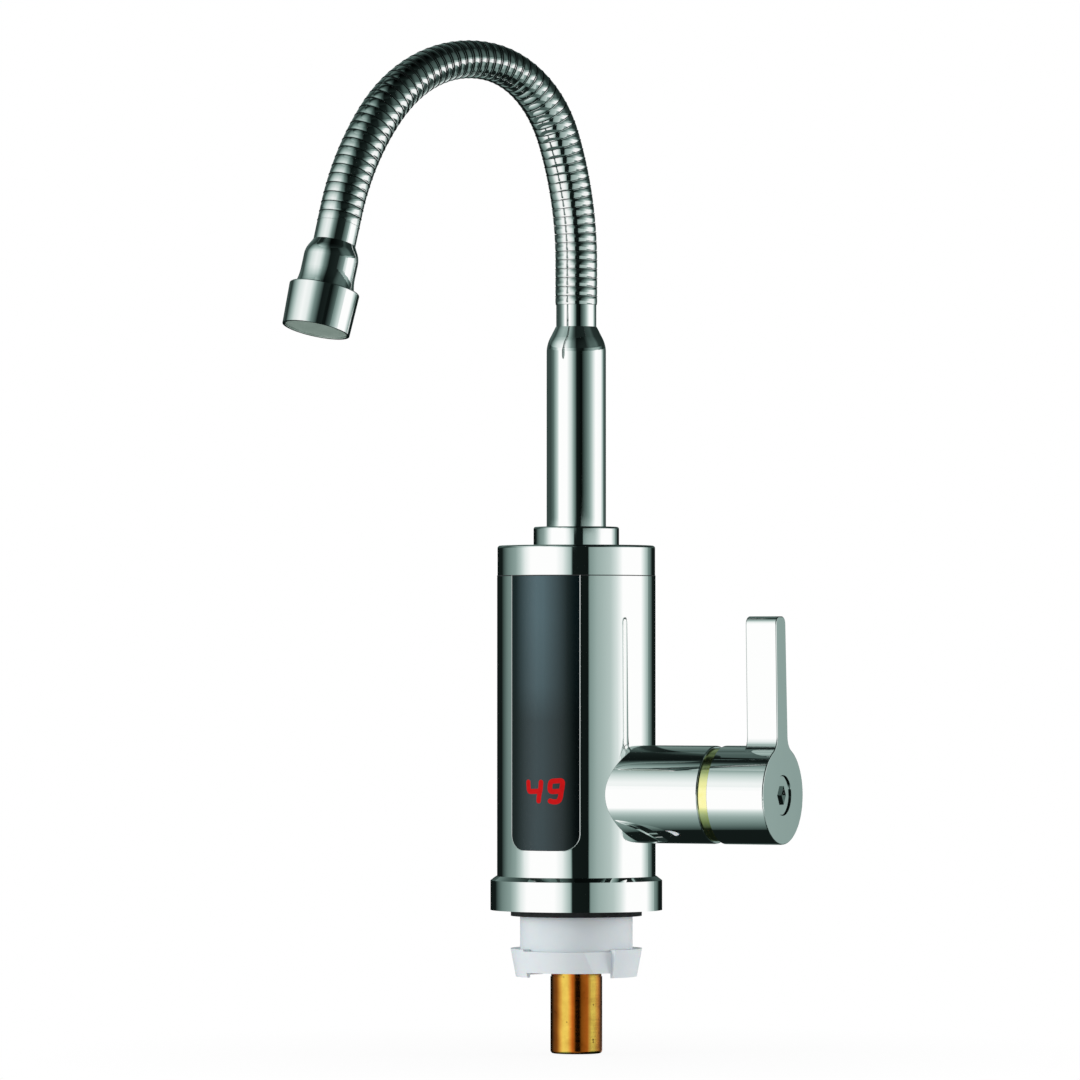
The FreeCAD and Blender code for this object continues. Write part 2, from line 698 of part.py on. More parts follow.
def pipe_seal():
    top = plate_top + s.pipe_socket_depth
    bottom = top - s.pipe_seal_thickness
    return turn_section(
        "pipe_seal", [(pipe_bore, bottom), (pipe_spigot, bottom), (pipe_spigot, top), (pipe_bore, top)]
    )


# Water block and what stands on it
def water_block():
    lower = cup_radius - s.seat_clearance
    upper = shell_inside - s.block_clearance
    socket = pipe_spigot + s.seat_clearance
    socket_top = plate_top + s.pipe_socket_depth
    body = turn_section(
        "water_block",
        [
            (socket, plate_top),
            (lower, plate_top),
            (lower, spigot_top),
            (upper, spigot_top),
            (upper, block_top),
            (0, block_top),
            (0, socket_top),
            (socket, socket_top),
        ],
    )
    sketch = new_sketch(body, "cable_slot", "XY_Plane", plate_top)
    half = s.cable_slot_width / 2
    inner = -(hollow_middle - half)
    draw_outline(sketch, [(-shell_radius, -half), (inner, -half), (inner, half), (-shell_radius, half)])
    pocket(body, sketch, s.block_height, forwards=True)
    sketch = new_sketch(body, "chassis_thread", "XY_Plane", plate_top)
    hole = s.chassis_screw_diameter / 2 + s.running_clearance
    draw_circle(sketch, (hollow_middle, 0), hole)
    drilled = pocket(body, sketch, s.chassis_screw_depth, forwards=True)
    repeat_round(body, drilled, "Z_Axis", CHASSIS_SCREWS)
    sketch = new_sketch(body, "feed_socket", "XY_Plane", block_top)
    draw_circle(sketch, (feed_offset, -s.valve_shift), s.feed_diameter / 2 + s.running_clearance)
    pocket(body, sketch, s.feed_depth)
    sketch = new_sketch(body, "plunger_bore", "XY_Plane", block_top)
    draw_circle(sketch, (0, plunger_offset), s.plunger_diameter / 2 + s.running_clearance)
    pocket(body, sketch, s.plunger_well)
    return body


def chassis_screws():
    """Screws from the shank's hollow up into the water block."""
    screws = []
    for index in range(CHASSIS_SCREWS):
        angle = 2 * math.pi * index / CHASSIS_SCREWS
        screws.append(
            screw(
                f"chassis_screw_{index + 1}",
                s.chassis_screw_diameter / 2,
                web_top,
                s.shank_plate + s.chassis_screw_depth,
                s.chassis_head_diameter / 2,
                web_top - s.chassis_head_height,
                s.chassis_head_height,
                hollow_middle * math.cos(angle),
                hollow_middle * math.sin(angle),
            )
        )
    return group("chassis_screws", screws)


def feed_tube():
    outer = s.feed_diameter / 2
    bore = outer - s.feed_wall
    bottom = block_top - s.feed_depth
    top = s.valve_level - s.valve_body_diameter / 2 + s.feed_entry
    body = turn_section("feed_tube", [(bore, bottom), (outer, bottom), (outer, top), (bore, top)])
    return place(body, x=feed_offset, y=-s.valve_shift)


def switch_plunger():
    radius = s.plunger_diameter / 2
    top = block_top + s.plunger_reach
    bottom = top - s.plunger_length
    body = turn_section("switch_plunger", [(0, bottom), (radius, bottom), (radius, top), (0, top)])
    return place(body, y=plunger_offset)


def microswitch():
    body = new_body("microswitch")
    sketch = new_sketch(body, "switch_outline", "XY_Plane", block_top)
    half = s.switch_width / 2
    front = plunger_offset - s.switch_depth / 2
    back = plunger_offset + s.switch_depth / 2
    draw_outline(sketch, [(-half, front), (half, front), (half, back), (-half, back)])
    pad(body, sketch, s.switch_height)
    sketch = new_sketch(body, "switch_well", "XY_Plane", block_top)
    draw_circle(sketch, (0, plunger_offset), s.switch_well_diameter / 2)
    pocket(body, sketch, s.switch_well_depth, forwards=True)
    return body


# Heating chamber
def drill_lid_screws(body, level, depth, name):
    sketch = new_sketch(body, name, "XY_Plane", level)
    reach = (rim_radius - s.lid_screw_inset) * math.cos(math.pi / LID_SCREWS)
    draw_circle(sketch, (reach, reach), s.lid_screw_diameter / 2 + s.running_clearance)
    repeat_round(body, pocket(body, sketch, depth), "Z_Axis", LID_SCREWS)


def cut_board_flat(body, level, depth, name):
    """Cut a flat on the rim, which leaves room for the control board in front."""
    sketch = new_sketch(body, name, "XY_Plane", level)
    half = rim_radius
    front = -(rim_radius * 2)
    flat = board_back + s.seat_clearance
    draw_outline(sketch, [(-half, front), (half, front), (half, flat), (-half, flat)])
    pocket(body, sketch, depth)


def heating_chamber():
    seal_inner = chamber_inside + s.seal_inset
    seal_outer = seal_inner + s.seal_width
    body = turn_section(
        "heating_chamber",
        [
            (0, block_top),
            (chamber_radius, block_top),
            (chamber_radius, chamber_top - s.rim_thickness),
            (rim_radius, chamber_top - s.rim_thickness),
            (rim_radius, chamber_top),
            (seal_outer, chamber_top),
            (seal_outer, chamber_top - s.seal_thickness),
            (seal_inner, chamber_top - s.seal_thickness),
            (seal_inner, chamber_top),
            (chamber_inside, chamber_top),
            (chamber_inside, block_top + s.chamber_floor),
            (0, block_top + s.chamber_floor),
        ],
    )
    sketch = new_sketch(body, "nipple_hole", "YZ_Plane")
    nipple_level = s.valve_level + s.port_offset
    draw_circle(sketch, (-s.valve_shift, nipple_level), s.nipple_diameter / 2 + s.seat_clearance)
    pocket(body, sketch, chamber_radius * 2, forwards=True)
    drill_lid_screws(body, chamber_top, s.rim_thickness, "rim_thread")
    cut_board_flat(body, chamber_top, s.rim_thickness, "rim_flat")
    return body


def chamber_seal():
    inner = chamber_inside + s.seal_inset
    outer = inner + s.seal_width
    bottom = chamber_top - s.seal_thickness
    return turn_section(
        "chamber_seal", [(inner, bottom), (outer, bottom), (outer, chamber_top), (inner, chamber_top)]
    )


def chamber_lid():
    """The lid carries the socket in which the spout swivels."""
    spigot = chamber_inside - s.seat_clearance
    bore = s.spigot_diameter / 2 + s.running_clearance
    socket = bore + s.socket_wall
    body = turn_section(
        "chamber_lid",
        [
            (s.outlet_bore / 2, chamber_top - s.lid_spigot),
            (spigot, chamber_top - s.lid_spigot),
            (spigot, chamber_top),
            (rim_radius, chamber_top),
            (rim_radius, lid_top),
            (socket, lid_top),
            (socket, cap_plate_bottom),
            (bore, cap_plate_bottom),
            (bore, spout_bottom - s.swivel_play),
            (s.outlet_bore / 2, spout_bottom - s.swivel_play),
        ],
    )
    sketch = new_sketch(body, "element_holes", "XY_Plane", lid_top)
    for x in (-element_reach, element_reach):
        for y in (-element_reach, element_reach):
            draw_circle(sketch, (x, y), s.element_diameter / 2 + s.running_clearance)
    pocket(body, sketch, s.lid_thickness + s.lid_spigot)
    sketch = new_sketch(body, "sensor_hole", "XY_Plane", lid_top)
    draw_circle(sketch, (-sensor_offset, 0), s.sensor_diameter / 2 + s.running_clearance)
    pocket(body, sketch, s.lid_thickness + s.lid_spigot)
    drill_lid_screws(body, lid_top, s.lid_thickness, "lid_hole")
    cut_board_flat(body, lid_top, s.lid_thickness, "lid_flat")
    return body


def lid_screws():
    screws = []
    for index in range(LID_SCREWS):
        angle = 2 * math.pi * (index + 0.5) / LID_SCREWS
        screws.append(
            screw(
                f"lid_screw_{index + 1}",
                s.lid_screw_diameter / 2,
                chamber_top - s.rim_thickness,
                s.rim_thickness + s.lid_thickness,
                s.lid_head_diameter / 2,
                lid_top,
                s.lid_head_height,
                (rim_radius - s.lid_screw_inset) * math.cos(angle),
                (rim_radius - s.lid_screw_inset) * math.sin(angle),
            )
        )
    return group("lid_screws", screws)


def heating_element():
    """Two hairpins that hang from the lid, each two straight legs and a half ring."""
    radius = s.element_diameter / 2
    bend = lid_top - s.element_depth
    hairpins = []
    for side, y in (("front", -element_reach), ("back", element_reach)):
        length = s.element_depth + s.element_terminal
        left = cylinder(f"{side}_leg_left", radius, length, -element_reach, y, bend)
        right = cylinder(f"{side}_leg_right", radius, length, element_reach, y, bend)
        half_ring = doc.addObject("Part::Torus", f"{side}_bend")
        bind(half_ring, "Radius1", element_reach)
        bind(half_ring, "Radius2", radius)
        half_ring.Angle3 = 180
        half_ring.Placement.Rotation = FreeCAD.Rotation(Vector(1, 0, 0), -90)
        place(half_ring, 0, y, bend)
        hairpin = doc.addObject("Part::MultiFuse", f"{side}_hairpin")
        hairpin.Shapes = [left, half_ring, right]
        hairpins.append(hairpin)
    return group("heating_element", hairpins)


def thermal_cutout():
    foot = s.cutout_diameter / 2
    can = foot - s.cutout_foot / 2
    body = turn_section(
        "thermal_cutout",
        [
            (0, lid_top),
            (foot, lid_top),
            (foot, lid_top + s.cutout_foot),
            (can, lid_top + s.cutout_foot),
            (can, lid_top + s.cutout_height),
            (0, lid_top + s.cutout_height),
        ],
    )
    return place(body, y=rim_radius - s.cutout_inset - foot)


def temperature_sensor():
    stem = s.sensor_diameter / 2
    head = s.sensor_head_diameter / 2
    bottom = lid_top - s.sensor_depth
    top = lid_top + s.sensor_head_height
    body = turn_section(
        "temperature_sensor",
        [(0, bottom), (stem, bottom), (stem, lid_top), (head, lid_top), (head, top), (0, top)],
    )
    return place(body, x=-sensor_offset)


# Body shell, display and cap
def window_outline(sketch, half, bottom, top, corner):
    """Draw an upright window whose lower corners are round."""
    places = [
        (corner - half, bottom),
        (half - corner, bottom),
        (half, bottom + corner),
        (half, top),
        (-half, top),
        (-half, bottom + corner),
    ]
    points = [Vector(x.value, y.value, 0) for x, y in places]
    quarter = math.pi / 2
    right = Part.Circle(points[2] - Vector(corner.value, 0, 0), Vector(0, 0, 1), corner.value)
    left = Part.Circle(points[5] + Vector(corner.value, 0, 0), Vector(0, 0, 1), corner.value)
    edges = [
        Part.LineSegment(points[0], points[1]),
        Part.ArcOfCircle(right, -quarter, 0),
        Part.LineSegment(points[2], points[3]),
        Part.LineSegment(points[3], points[4]),
        Part.LineSegment(points[4], points[5]),
        Part.ArcOfCircle(left, 2 * quarter, 3 * quarter),
    ]
    for edge in edges:
        sketch.addGeometry(edge)
    for index, (x, y) in enumerate(places):
        sketch.addConstraint(Sketcher.Constraint("Coincident", index, 2, (index + 1) % len(edges), 1))
        hold_point(sketch, index, 1, (x, y))
    for index in (1, 5):
        held = sketch.addConstraint(Sketcher.Constraint("Radius", index, corner.value))
        bind(sketch, f"Constraints[{held}]", corner)


def body_shell():
    body = turn_section(
        "body_shell",
        [
            (shell_inside, flange_top),
            (shell_radius, flange_top),
            (shell_radius, shell_top),
            (shell_inside, shell_top),
        ],
    )
    half = s.window_width / 2
    sketch = new_sketch(body, "window", "XZ_Plane")
    window_outline(sketch, half, window_bottom, shell_top + s.cap_height, s.window_round)
    pocket(body, sketch, s.body_diameter, forwards=True)
    sketch = new_sketch(body, "valve_hole", "YZ_Plane")
    draw_circle(sketch, (-s.valve_shift, s.valve_level), s.valve_body_diameter / 2 + s.shell_hole_clearance)
    pocket(body, sketch, s.body_diameter, forwards=True)
    return body


def trim_outside(body, name, radius):
    """Cut away what lies outside a cylinder round the tap's axis."""
    sketch = new_sketch(body, name, "XY_Plane")
    draw_circle(sketch, (0, 0), radius)
    draw_circle(sketch, (0, 0), s.body_diameter)
    pocket(body, sketch, both_ends, both_ways=True)


def display_lens():
    """A curved lens that fills the window, with a lip that bears on the shell from inside."""
    body = new_body("display_lens")
    half = s.window_width / 2 - s.seat_clearance
    bottom = window_bottom + s.seat_clearance
    lip_top = shell_top - s.cap_spigot - s.seat_clearance
    sketch = new_sketch(body, "lip_outline", "XZ_Plane")
    corner = s.window_round - s.seat_clearance
    window_outline(sketch, half + s.lens_lip, bottom - s.lens_lip, lip_top, corner + s.lens_lip)
    pad(body, sketch, shell_radius)
    trim_outside(body, "lip_face", shell_inside - s.seat_clearance)
    sketch = new_sketch(body, "lens_outline", "XZ_Plane")
    window_outline(sketch, half, bottom, shell_top, corner)
    pad(body, sketch, shell_radius)
    trim_outside(body, "lens_face", shell_radius - s.lens_recess)
    sketch = new_sketch(body, "lens_back", "XY_Plane")
    draw_circle(sketch, (0, 0), lens_inside)
    pocket(body, sketch, both_ends, both_ways=True)
    sketch = new_sketch(body, "cap_rebate", "XY_Plane", shell_top)
    draw_circle(sketch, (0, 0), shell_inside - s.running_clearance)
    pocket(body, sketch, s.cap_spigot + s.seat_clearance)
    return body


def top_cap():
    outer = shell_radius - s.cap_step
    spigot = shell_inside - s.seat_clearance
    inside = spigot - s.cap_wall
    spigot_end = shell_top - s.cap_spigot
    hole = s.spigot_diameter / 2 + s.thread_clearance
    body = turn_section(
        "top_cap",
        [
            (hole, cap_plate_bottom),
            (hole, cap_top),
            (outer, cap_top),
            (outer, shell_top),
            (spigot, shell_top),
            (spigot, spigot_end),
            (inside, spigot_end),
            (inside, cap_plate_bottom),
        ],
    )
    round_ring(body, s.cap_round, outer, cap_top)
    return body


def control_board():
    return box(
        "control_board",
        s.board_width,
        s.board_thickness,
        s.board_height,
        -(s.board_width / 2),
        board_front,
        block_top,
    )


def display_module():
    return box(
        "display_module",
        s.display_width,
        s.display_depth,
        s.display_height,
        -(s.display_width / 2),
        board_front - s.display_depth,
        s.display_level - s.display_height / 2,
    )


def power_relay():
    return box(
        "power_relay",
        s.relay_width,
        s.relay_depth,
        s.relay_height,
        -(s.relay_width / 2),
        board_back,
        lid_top + s.seat_clearance,
    )


# Valve, turned round the X axis at the valve's level
def turn_valve_piece(name, corners):
    return place(turn_section(name, corners, "H_Axis"), y=-s.valve_shift, z=s.valve_level)


def valve_body():
    outer = s.valve_body_diameter / 2
    thread = s.valve_thread_diameter / 2
    seat = s.cartridge_diameter / 2 + s.seat_clearance
    start = chamber_radius + s.valve_gap
    shoulder = shell_radius + s.valve_plain
    body = turn_valve_piece(
        "valve_body",
        [
            (start, 0),
            (start, outer),
            (shoulder, outer),
            (shoulder, thread),
            (valve_end, thread),
            (valve_end, seat),
            (valve_seat, seat),
            (valve_seat, 0),
        ],
    )
    sketch = new_sketch(body, "nipple", "YZ_Plane", start)
    draw_circle(sketch, (0, s.port_offset), s.nipple_diameter / 2)
    pad(body, sketch, s.valve_gap + s.chamber_wall, backwards=True)
    sketch = new_sketch(body, "outlet_port", "YZ_Plane", valve_seat)
    draw_circle(sketch, (0, s.port_offset), s.port_diameter / 2)
    pocket(body, sketch, valve_seat)
    sketch = new_sketch(body, "inlet_port", "YZ_Plane", valve_seat)
    draw_circle(sketch, (0, -s.port_offset), s.port_diameter / 2)
    pocket(body, sketch, valve_seat - feed_offset)
    sketch = new_sketch(body, "feed_entry", "XY_Plane", -outer)
    draw_circle(sketch, (feed_offset, 0), s.feed_diameter / 2 + s.running_clearance)
    pocket(body, sketch, s.feed_entry, forwards=True)
    sketch = new_sketch(body, "feed_way", "XY_Plane", -outer)
    draw_circle(sketch, (feed_offset, 0), s.port_diameter / 2)
    pocket(body, sketch, outer - s.port_offset, forwards=True)
    return body


def valve_sleeve():
    outer = s.sleeve_diameter / 2
    bore = outer - s.sleeve_wall
    body = turn_valve_piece(
        "valve_sleeve", [(0, bore), (sleeve_end, bore), (sleeve_end, outer), (0, outer)]
    )
    round_ring(body, s.sleeve_round, outer, sleeve_end, Vector(1, 0, 0))
    sketch = new_sketch(body, "saddle", "XY_Plane")
    draw_circle(sketch, (0, s.valve_shift), shell_radius + s.saddle_clearance)
    pocket(body, sketch, s.sleeve_diameter * 2, both_ways=True)
    return body


def cartridge_body():
    outer = s.cartridge_diameter / 2
    chamber = s.disc_diameter / 2 + s.seat_clearance
    bore = s.stem_diameter / 2 + s.running_clearance
    discs_end = valve_seat + s.disc_thickness * 2 + s.running_clearance * 3
    end = valve_seat + s.cartridge_length
    return turn_valve_piece(
        "cartridge_body",
        [
            (valve_seat, chamber),
            (valve_seat, outer),
            (end, outer),
            (end, bore),
            (discs_end, bore),
            (discs_end, chamber),
        ],
    )


def fixed_disc():
    radius = s.disc_diameter / 2
    end = valve_seat + s.disc_thickness
    body = turn_valve_piece(
        "fixed_disc", [(valve_seat, 0), (valve_seat, radius), (end, radius), (end, 0)]
    )
    sketch = new_sketch(body, "disc_ports", "YZ_Plane", end)
    draw_circle(sketch, (0, s.port_offset), s.port_diameter / 2)
    draw_circle(sketch, (0, -s.port_offset), s.port_diameter / 2)
    pocket(body, sketch, s.disc_thickness)
    return body


def turning_disc():
    radius = s.disc_diameter / 2
    start = valve_seat + s.disc_thickness + s.running_clearance
    end = start + s.disc_thickness
    body = turn_valve_piece("turning_disc", [(start, 0), (start, radius), (end, radius), (end, 0)])
    sketch = new_sketch(body, "turning_ports", "YZ_Plane", start)
    draw_circle(sketch, (s.port_offset, 0), s.port_diameter / 2)
    draw_circle(sketch, (-s.port_offset, 0), s.port_diameter / 2)
    pocket(body, sketch, s.disc_thickness, forwards=True)
    return body


def cartridge_stem():
    radius = s.stem_diameter / 2
    start = valve_seat + s.disc_thickness * 2 + s.running_clearance * 2
    body = turn_valve_piece(
        "cartridge_stem", [(start, 0), (start, radius), (stem_shoulder, radius), (stem_shoulder, 0)]
    )
    half = s.stem_square / 2
    sketch = new_sketch(body, "square_drive", "YZ_Plane", stem_shoulder)
    draw_outline(sketch, [(-half, -half), (half, -half), (half, half), (-half, half)])
    pad(body, sketch, stem_end - stem_shoulder)
    sketch = new_sketch(body, "stem_thread", "YZ_Plane", stem_end)
    draw_circle(sketch, (0, 0), s.screw_diameter / 2 + s.running_clearance)
    pocket(body, sketch, s.screw_hole_depth)
    return body


def bonnet_nut():
    """The nut screws onto the valve body, holds the cartridge down and clamps the sleeve to the shell."""
    skirt = s.bonnet_diameter / 2
    thread = s.valve_thread_diameter / 2 + s.thread_clearance / 2
    presser = s.cartridge_diameter / 2
    bore = s.stem_diameter / 2 + s.stem_gap
    start = sleeve_end - s.bonnet_skirt
    end = sleeve_end + s.bonnet_flange_thickness
    floor = sleeve_end - s.bonnet_wall
    return turn_valve_piece(
        "bonnet_nut",
        [
            (start, thread),
            (start, skirt),
            (sleeve_end, skirt),
            (sleeve_end, s.bonnet_flange_diameter / 2),
            (end, s.bonnet_flange_diameter / 2),
            (end, bore),
            (valve_seat + s.cartridge_length, bore),
            (valve_seat + s.cartridge_length, presser),
            (floor, presser),
            (floor, thread),
        ],
    )


# Lever handle
def lever_handle():
    outer = s.handle_diameter / 2
    hole = s.screw_diameter / 2 + s.seat_clearance
    recess = s.recess_diameter / 2
    recess_floor = handle_end - s.recess_depth
    cup = s.handle_cup_diameter / 2
    body = turn_valve_piece(
        "lever_handle",
        [
            (handle_start, cup),
            (handle_start, outer),
            (handle_end, outer),
            (handle_end, recess),
            (recess_floor, recess),
            (recess_floor, hole),
            (hub_start, hole),
            (hub_start, cup),
        ],
    )
    half = s.stem_square / 2 + s.running_clearance
    sketch = new_sketch(body, "drive_socket", "YZ_Plane", hub_start)
    draw_outline(sketch, [(-half, -half), (half, -half), (half, half), (-half, half)])
    pocket(body, sketch, s.drive_depth, forwards=True)
    root = s.lever_root_thickness / 2
    tip = s.lever_tip_thickness / 2
    foot = (recess + outer) / 2
    sketch = new_sketch(body, "lever_outline", "YZ_Plane", handle_end)
    top_front = -tip - s.lever_lean
    top_back = tip - s.lever_lean
    draw_outline(sketch, [(-root, foot), (root, foot), (top_back, s.lever_length), (top_front, s.lever_length)])
    pad(body, sketch, s.lever_width, backwards=True)
    round_edges(body, s.lever_flare, is_flare)
    round_edges(body, s.lever_crown, is_crown)
    round_edges(body, s.handle_round, is_end_edge)
    round_edges(body, s.lever_side_round, is_bar_edge)
    return body


def is_flare(edge):
    """Is the edge where a side of the lever bar runs into the barrel?"""
    if not isinstance(edge.Curve, Part.Line) or abs(edge.tangentAt(edge.FirstParameter).x) < 0.999:
        return False
    middle = edge.CenterOfMass
    return is_near(math.hypot(middle.y, middle.z), s.handle_diameter / 2) and middle.z > 0


def is_crown(edge):
    """Is the edge at the front or back of the lever's top?"""
    runs_across = abs(edge.tangentAt(edge.FirstParameter).x) > 0.999
    return runs_across and is_near(edge.BoundBox.ZMin, s.lever_length)


def is_end_edge(edge):
    """Is the edge on the outline of the end face?"""
    points = [vertex.Point for vertex in edge.Vertexes] + [edge.CenterOfMass]
    on_face = all(is_near(point.x, handle_end) for point in points)
    outside = math.hypot(points[0].y, points[0].z) > s.screw_head_diameter.value / 2 + s.recess_depth.value
    return on_face and outside


def is_bar_edge(edge):
    """Is the edge on the outline of the lever bar's face towards the body?"""
    points = [vertex.Point for vertex in edge.Vertexes] + [edge.CenterOfMass]
    on_face = all(is_near(point.x, handle_end - s.lever_width) for point in points)
    return on_face and points[-1].z > s.handle_diameter.value / 2 + s.lever_flare.value


def handle_screw():
    shank = s.screw_diameter / 2
    head = s.screw_head_diameter / 2
    seat = handle_end - s.recess_depth
    face = seat + s.screw_head_height
    start = seat - s.screw_length
    body = turn_valve_piece(
        "handle_screw", [(start, 0), (start, shank), (seat, shank), (seat, head), (face, head), (face, 0)]
    )
    reach = s.hexagon_size / 2 / math.cos(math.pi / 6)
    corners = []
    for index in range(6):
        angle = math.pi / 3 * index
        corners.append((reach * math.cos(angle), reach * math.sin(angle)))
    sketch = new_sketch(body, "hexagon_socket", "YZ_Plane", face)
    draw_outline(sketch, corners)
    pocket(body, sketch, s.hexagon_depth)
    return body


# Swivel and spout tube
def swivel_collar():
    outer = s.collar_diameter / 2
    bore = s.spout_tube_diameter / 2 + s.seat_clearance
    flange = s.swivel_flange_diameter / 2 + s.seat_clearance
    flange_room = swivel_top + s.swivel_play
    body = turn_section(
        "swivel_collar",
        [
            (flange, cap_top),
            (outer, cap_top),
            (outer, collar_top),
            (bore, collar_top),
            (bore, flange_room),
            (flange, flange_room),
        ],
    )
    round_ring(body, s.collar_round, outer, collar_top)
    return body


def slip_ring():
    inner = s.spigot_diameter / 2 + s.seat_clearance
    outer = s.swivel_flange_diameter / 2
    top = cap_top + s.slip_thickness
    return turn_section("slip_ring", [(inner, cap_top), (outer, cap_top), (outer, top), (inner, top)])


def ring_level(index):
    return spout_bottom + s.ring_first + s.ring_spacing * index


def spout_tube():
    spigot = s.spigot_diameter / 2
    groove = spigot - s.ring_section
    half_groove = s.ring_groove_width / 2
    outer = s.spout_tube_diameter / 2
    neck_bore = s.ferrule_spigot_diameter / 2 + s.seat_clearance
    bore = s.outlet_bore / 2
    wide = outer - s.spout_tube_wall
    section = [(bore, spout_bottom), (spigot, spout_bottom)]
    for index in range(O_RINGS):
        level = ring_level(index)
        section += [
            (spigot, level - half_groove),
            (groove, level - half_groove),
            (groove, level + half_groove),
            (spigot, level + half_groove),
        ]
    section += [
        (spigot, swivel_bottom),
        (s.swivel_flange_diameter / 2, swivel_bottom),
        (s.swivel_flange_diameter / 2, swivel_top),
        (outer, swivel_top),
        (outer, spout_shoulder),
        (s.neck_diameter / 2, neck_top),
        (neck_bore, neck_top),
        (neck_bore, neck_top - s.ferrule_spigot_length),
        (wide, neck_top - s.ferrule_spigot_length - s.taper_length),
        (wide, collar_top),
        (bore, collar_top),
    ]
    body = turn_section("spout_tube", section)
    round_ring(body, s.taper_round, outer, spout_shoulder)
    return body


def spout_o_rings():
    rings = []
    for index in range(O_RINGS):
        ring = doc.addObject("Part::Torus", f"o_ring_{index + 1}")
        bind(ring, "Radius1", s.spigot_diameter / 2 - s.ring_section / 2 - s.running_clearance / 2)
        bind(ring, "Radius2", s.ring_section / 2 - s.running_clearance)
        rings.append(place(ring, z=ring_level(index)))
    return group("spout_o_rings", rings)


def lower_ferrule():
    bore = s.hose_bore / 2
    spigot = s.ferrule_spigot_diameter / 2
    outer = s.ferrule_diameter / 2
    tongue = s.tongue_diameter / 2
    return turn_section(
        "lower_ferrule",
        [
            (bore, neck_top - s.ferrule_spigot_length),
            (spigot, neck_top - s.ferrule_spigot_length),
            (spigot, neck_top),
            (outer, neck_top),
            (outer, hose_bottom),
            (tongue, hose_bottom),
            (tongue, hose_bottom + s.tongue_length),
            (bore, hose_bottom + s.tongue_length),
        ],
    )


# Gooseneck: straight runs and tangent arcs in one upright plane
swing = math.radians(s.spout_swing.value)
outward = Vector(-math.sin(swing), -math.cos(swing), 0)
across = Vector(0, 0, 1).cross(outward)
hose_runs = [
    (s.hose_start_run.value, 0.0),
    (s.hose_rise_radius.value, math.radians(s.hose_rise_turn.value)),
    (s.hose_crown_radius.value, math.radians(s.hose_crown_turn.value)),
    (s.hose_fall_radius.value, math.radians(s.hose_fall_turn.value)),
    (s.hose_tail_radius.value, math.radians(s.hose_tail_turn.value)),
    (s.hose_end_run.value, 0.0),
]
hose_length = sum(size * turn if turn else size for size, turn in hose_runs)
rib_pitch = hose_length / (HOSE_PIECES * RIBS_PER_PIECE)


def hose_place(distance):
    """A place so far along the hose's centreline, with Z along the hose and X across its plane."""
    reach = 0.0
    rise = hose_bottom.value
    lean = 0.0
    left = distance
    for index, (size, turn) in enumerate(hose_runs):
        last = index == len(hose_runs) - 1
        whole = size * turn if turn else size
        step = left if last else min(left, whole)
        if turn:
            angle = step / size
            reach += size * (math.cos(lean) - math.cos(lean + angle))
            rise += size * (math.sin(lean + angle) - math.sin(lean))
            lean += angle
        else:
            reach += step * math.sin(lean)
            rise += step * math.cos(lean)
        left -= step
        if left <= 0:
            break
    along = outward * math.sin(lean) + Vector(0, 0, math.cos(lean))
    turned = FreeCAD.Rotation(across, Vector(), along, "ZXY")
    return FreeCAD.Placement(outward * reach + Vector(0, 0, rise), turned)


def hose_ring(distance, radius):
    ring = Part.Wire([Part.Circle(Vector(), Vector(0, 0, 1), radius).toShape()])
    ring.Placement = hose_place(distance)
    return ring


def hose_segment(number):
    """One length of the strip-wound hose: ribs outside, a bore, a counterbore below and a tongue above."""
    start = (number - 1) * RIBS_PER_PIECE * rib_pitch
    band = rib_pitch - s.rib_gap.value
    slope = s.rib_slope.value
    end = start + (RIBS_PER_PIECE - 1) * rib_pitch + band
    low = s.rib_diameter.value / 2
    lip = s.rib_lip_diameter.value / 2
    groove = s.rib_groove_diameter.value / 2
    bore = s.hose_bore.value / 2
    rings = []
    for rib in range(RIBS_PER_PIECE):
        rib_start = start + rib * rib_pitch
        rings += [hose_ring(rib_start, low), hose_ring(rib_start + band, lip)]
        if rib < RIBS_PER_PIECE - 1:
            rings += [
                hose_ring(rib_start + band + slope, groove),
                hose_ring(rib_start + rib_pitch - slope, groove),
            ]
    ribs = Part.makeLoft(rings, True, True)
    steps = RIBS_PER_PIECE * 2
    reach = end - start
    bore_rings = [hose_ring(start + reach * step / steps, bore) for step in range(steps + 1)]
    shape = ribs.cut(Part.makeLoft(bore_rings, True, True))
    well = Part.makeCylinder(s.tongue_diameter.value / 2 + s.tongue_room.value, s.tongue_well.value)
    well.Placement = hose_place(start)
    tongue_radius = s.tongue_diameter.value / 2
    tongue = Part.makeCylinder(tongue_radius, s.tongue_length.value)
    tongue = tongue.cut(Part.makeCylinder(tongue_radius - s.tongue_wall.value, s.tongue_length.value))
    tongue.Placement = hose_place(end)
    thing = doc.addObject("Part::Feature", f"hose_segment_{number}")
    thing.Label = thing.Name
    thing.Shape = shape.cut(well).fuse(tongue)
    return thing


def hose_path(before, after):
    """The centreline as a wire, run on straight at both ends."""
    edges = []
    distance = 0.0
    for index, (size, turn) in enumerate(hose_runs):
        whole = size * turn if turn else size
        start = hose_place(distance).Base
        finish = hose_place(distance + whole).Base
        if index == 0:
            start = start - Vector(0, 0, before)
        if index == len(hose_runs) - 1:
            finish = hose_place(distance + whole + after).Base
        if turn:
            middle = hose_place(distance + whole / 2).Base
            edges.append(Part.Arc(start, middle, finish).toShape())
        else:
            edges.append(Part.LineSegment(start, finish).toShape())
        distance += whole
    return Part.Wire(edges)


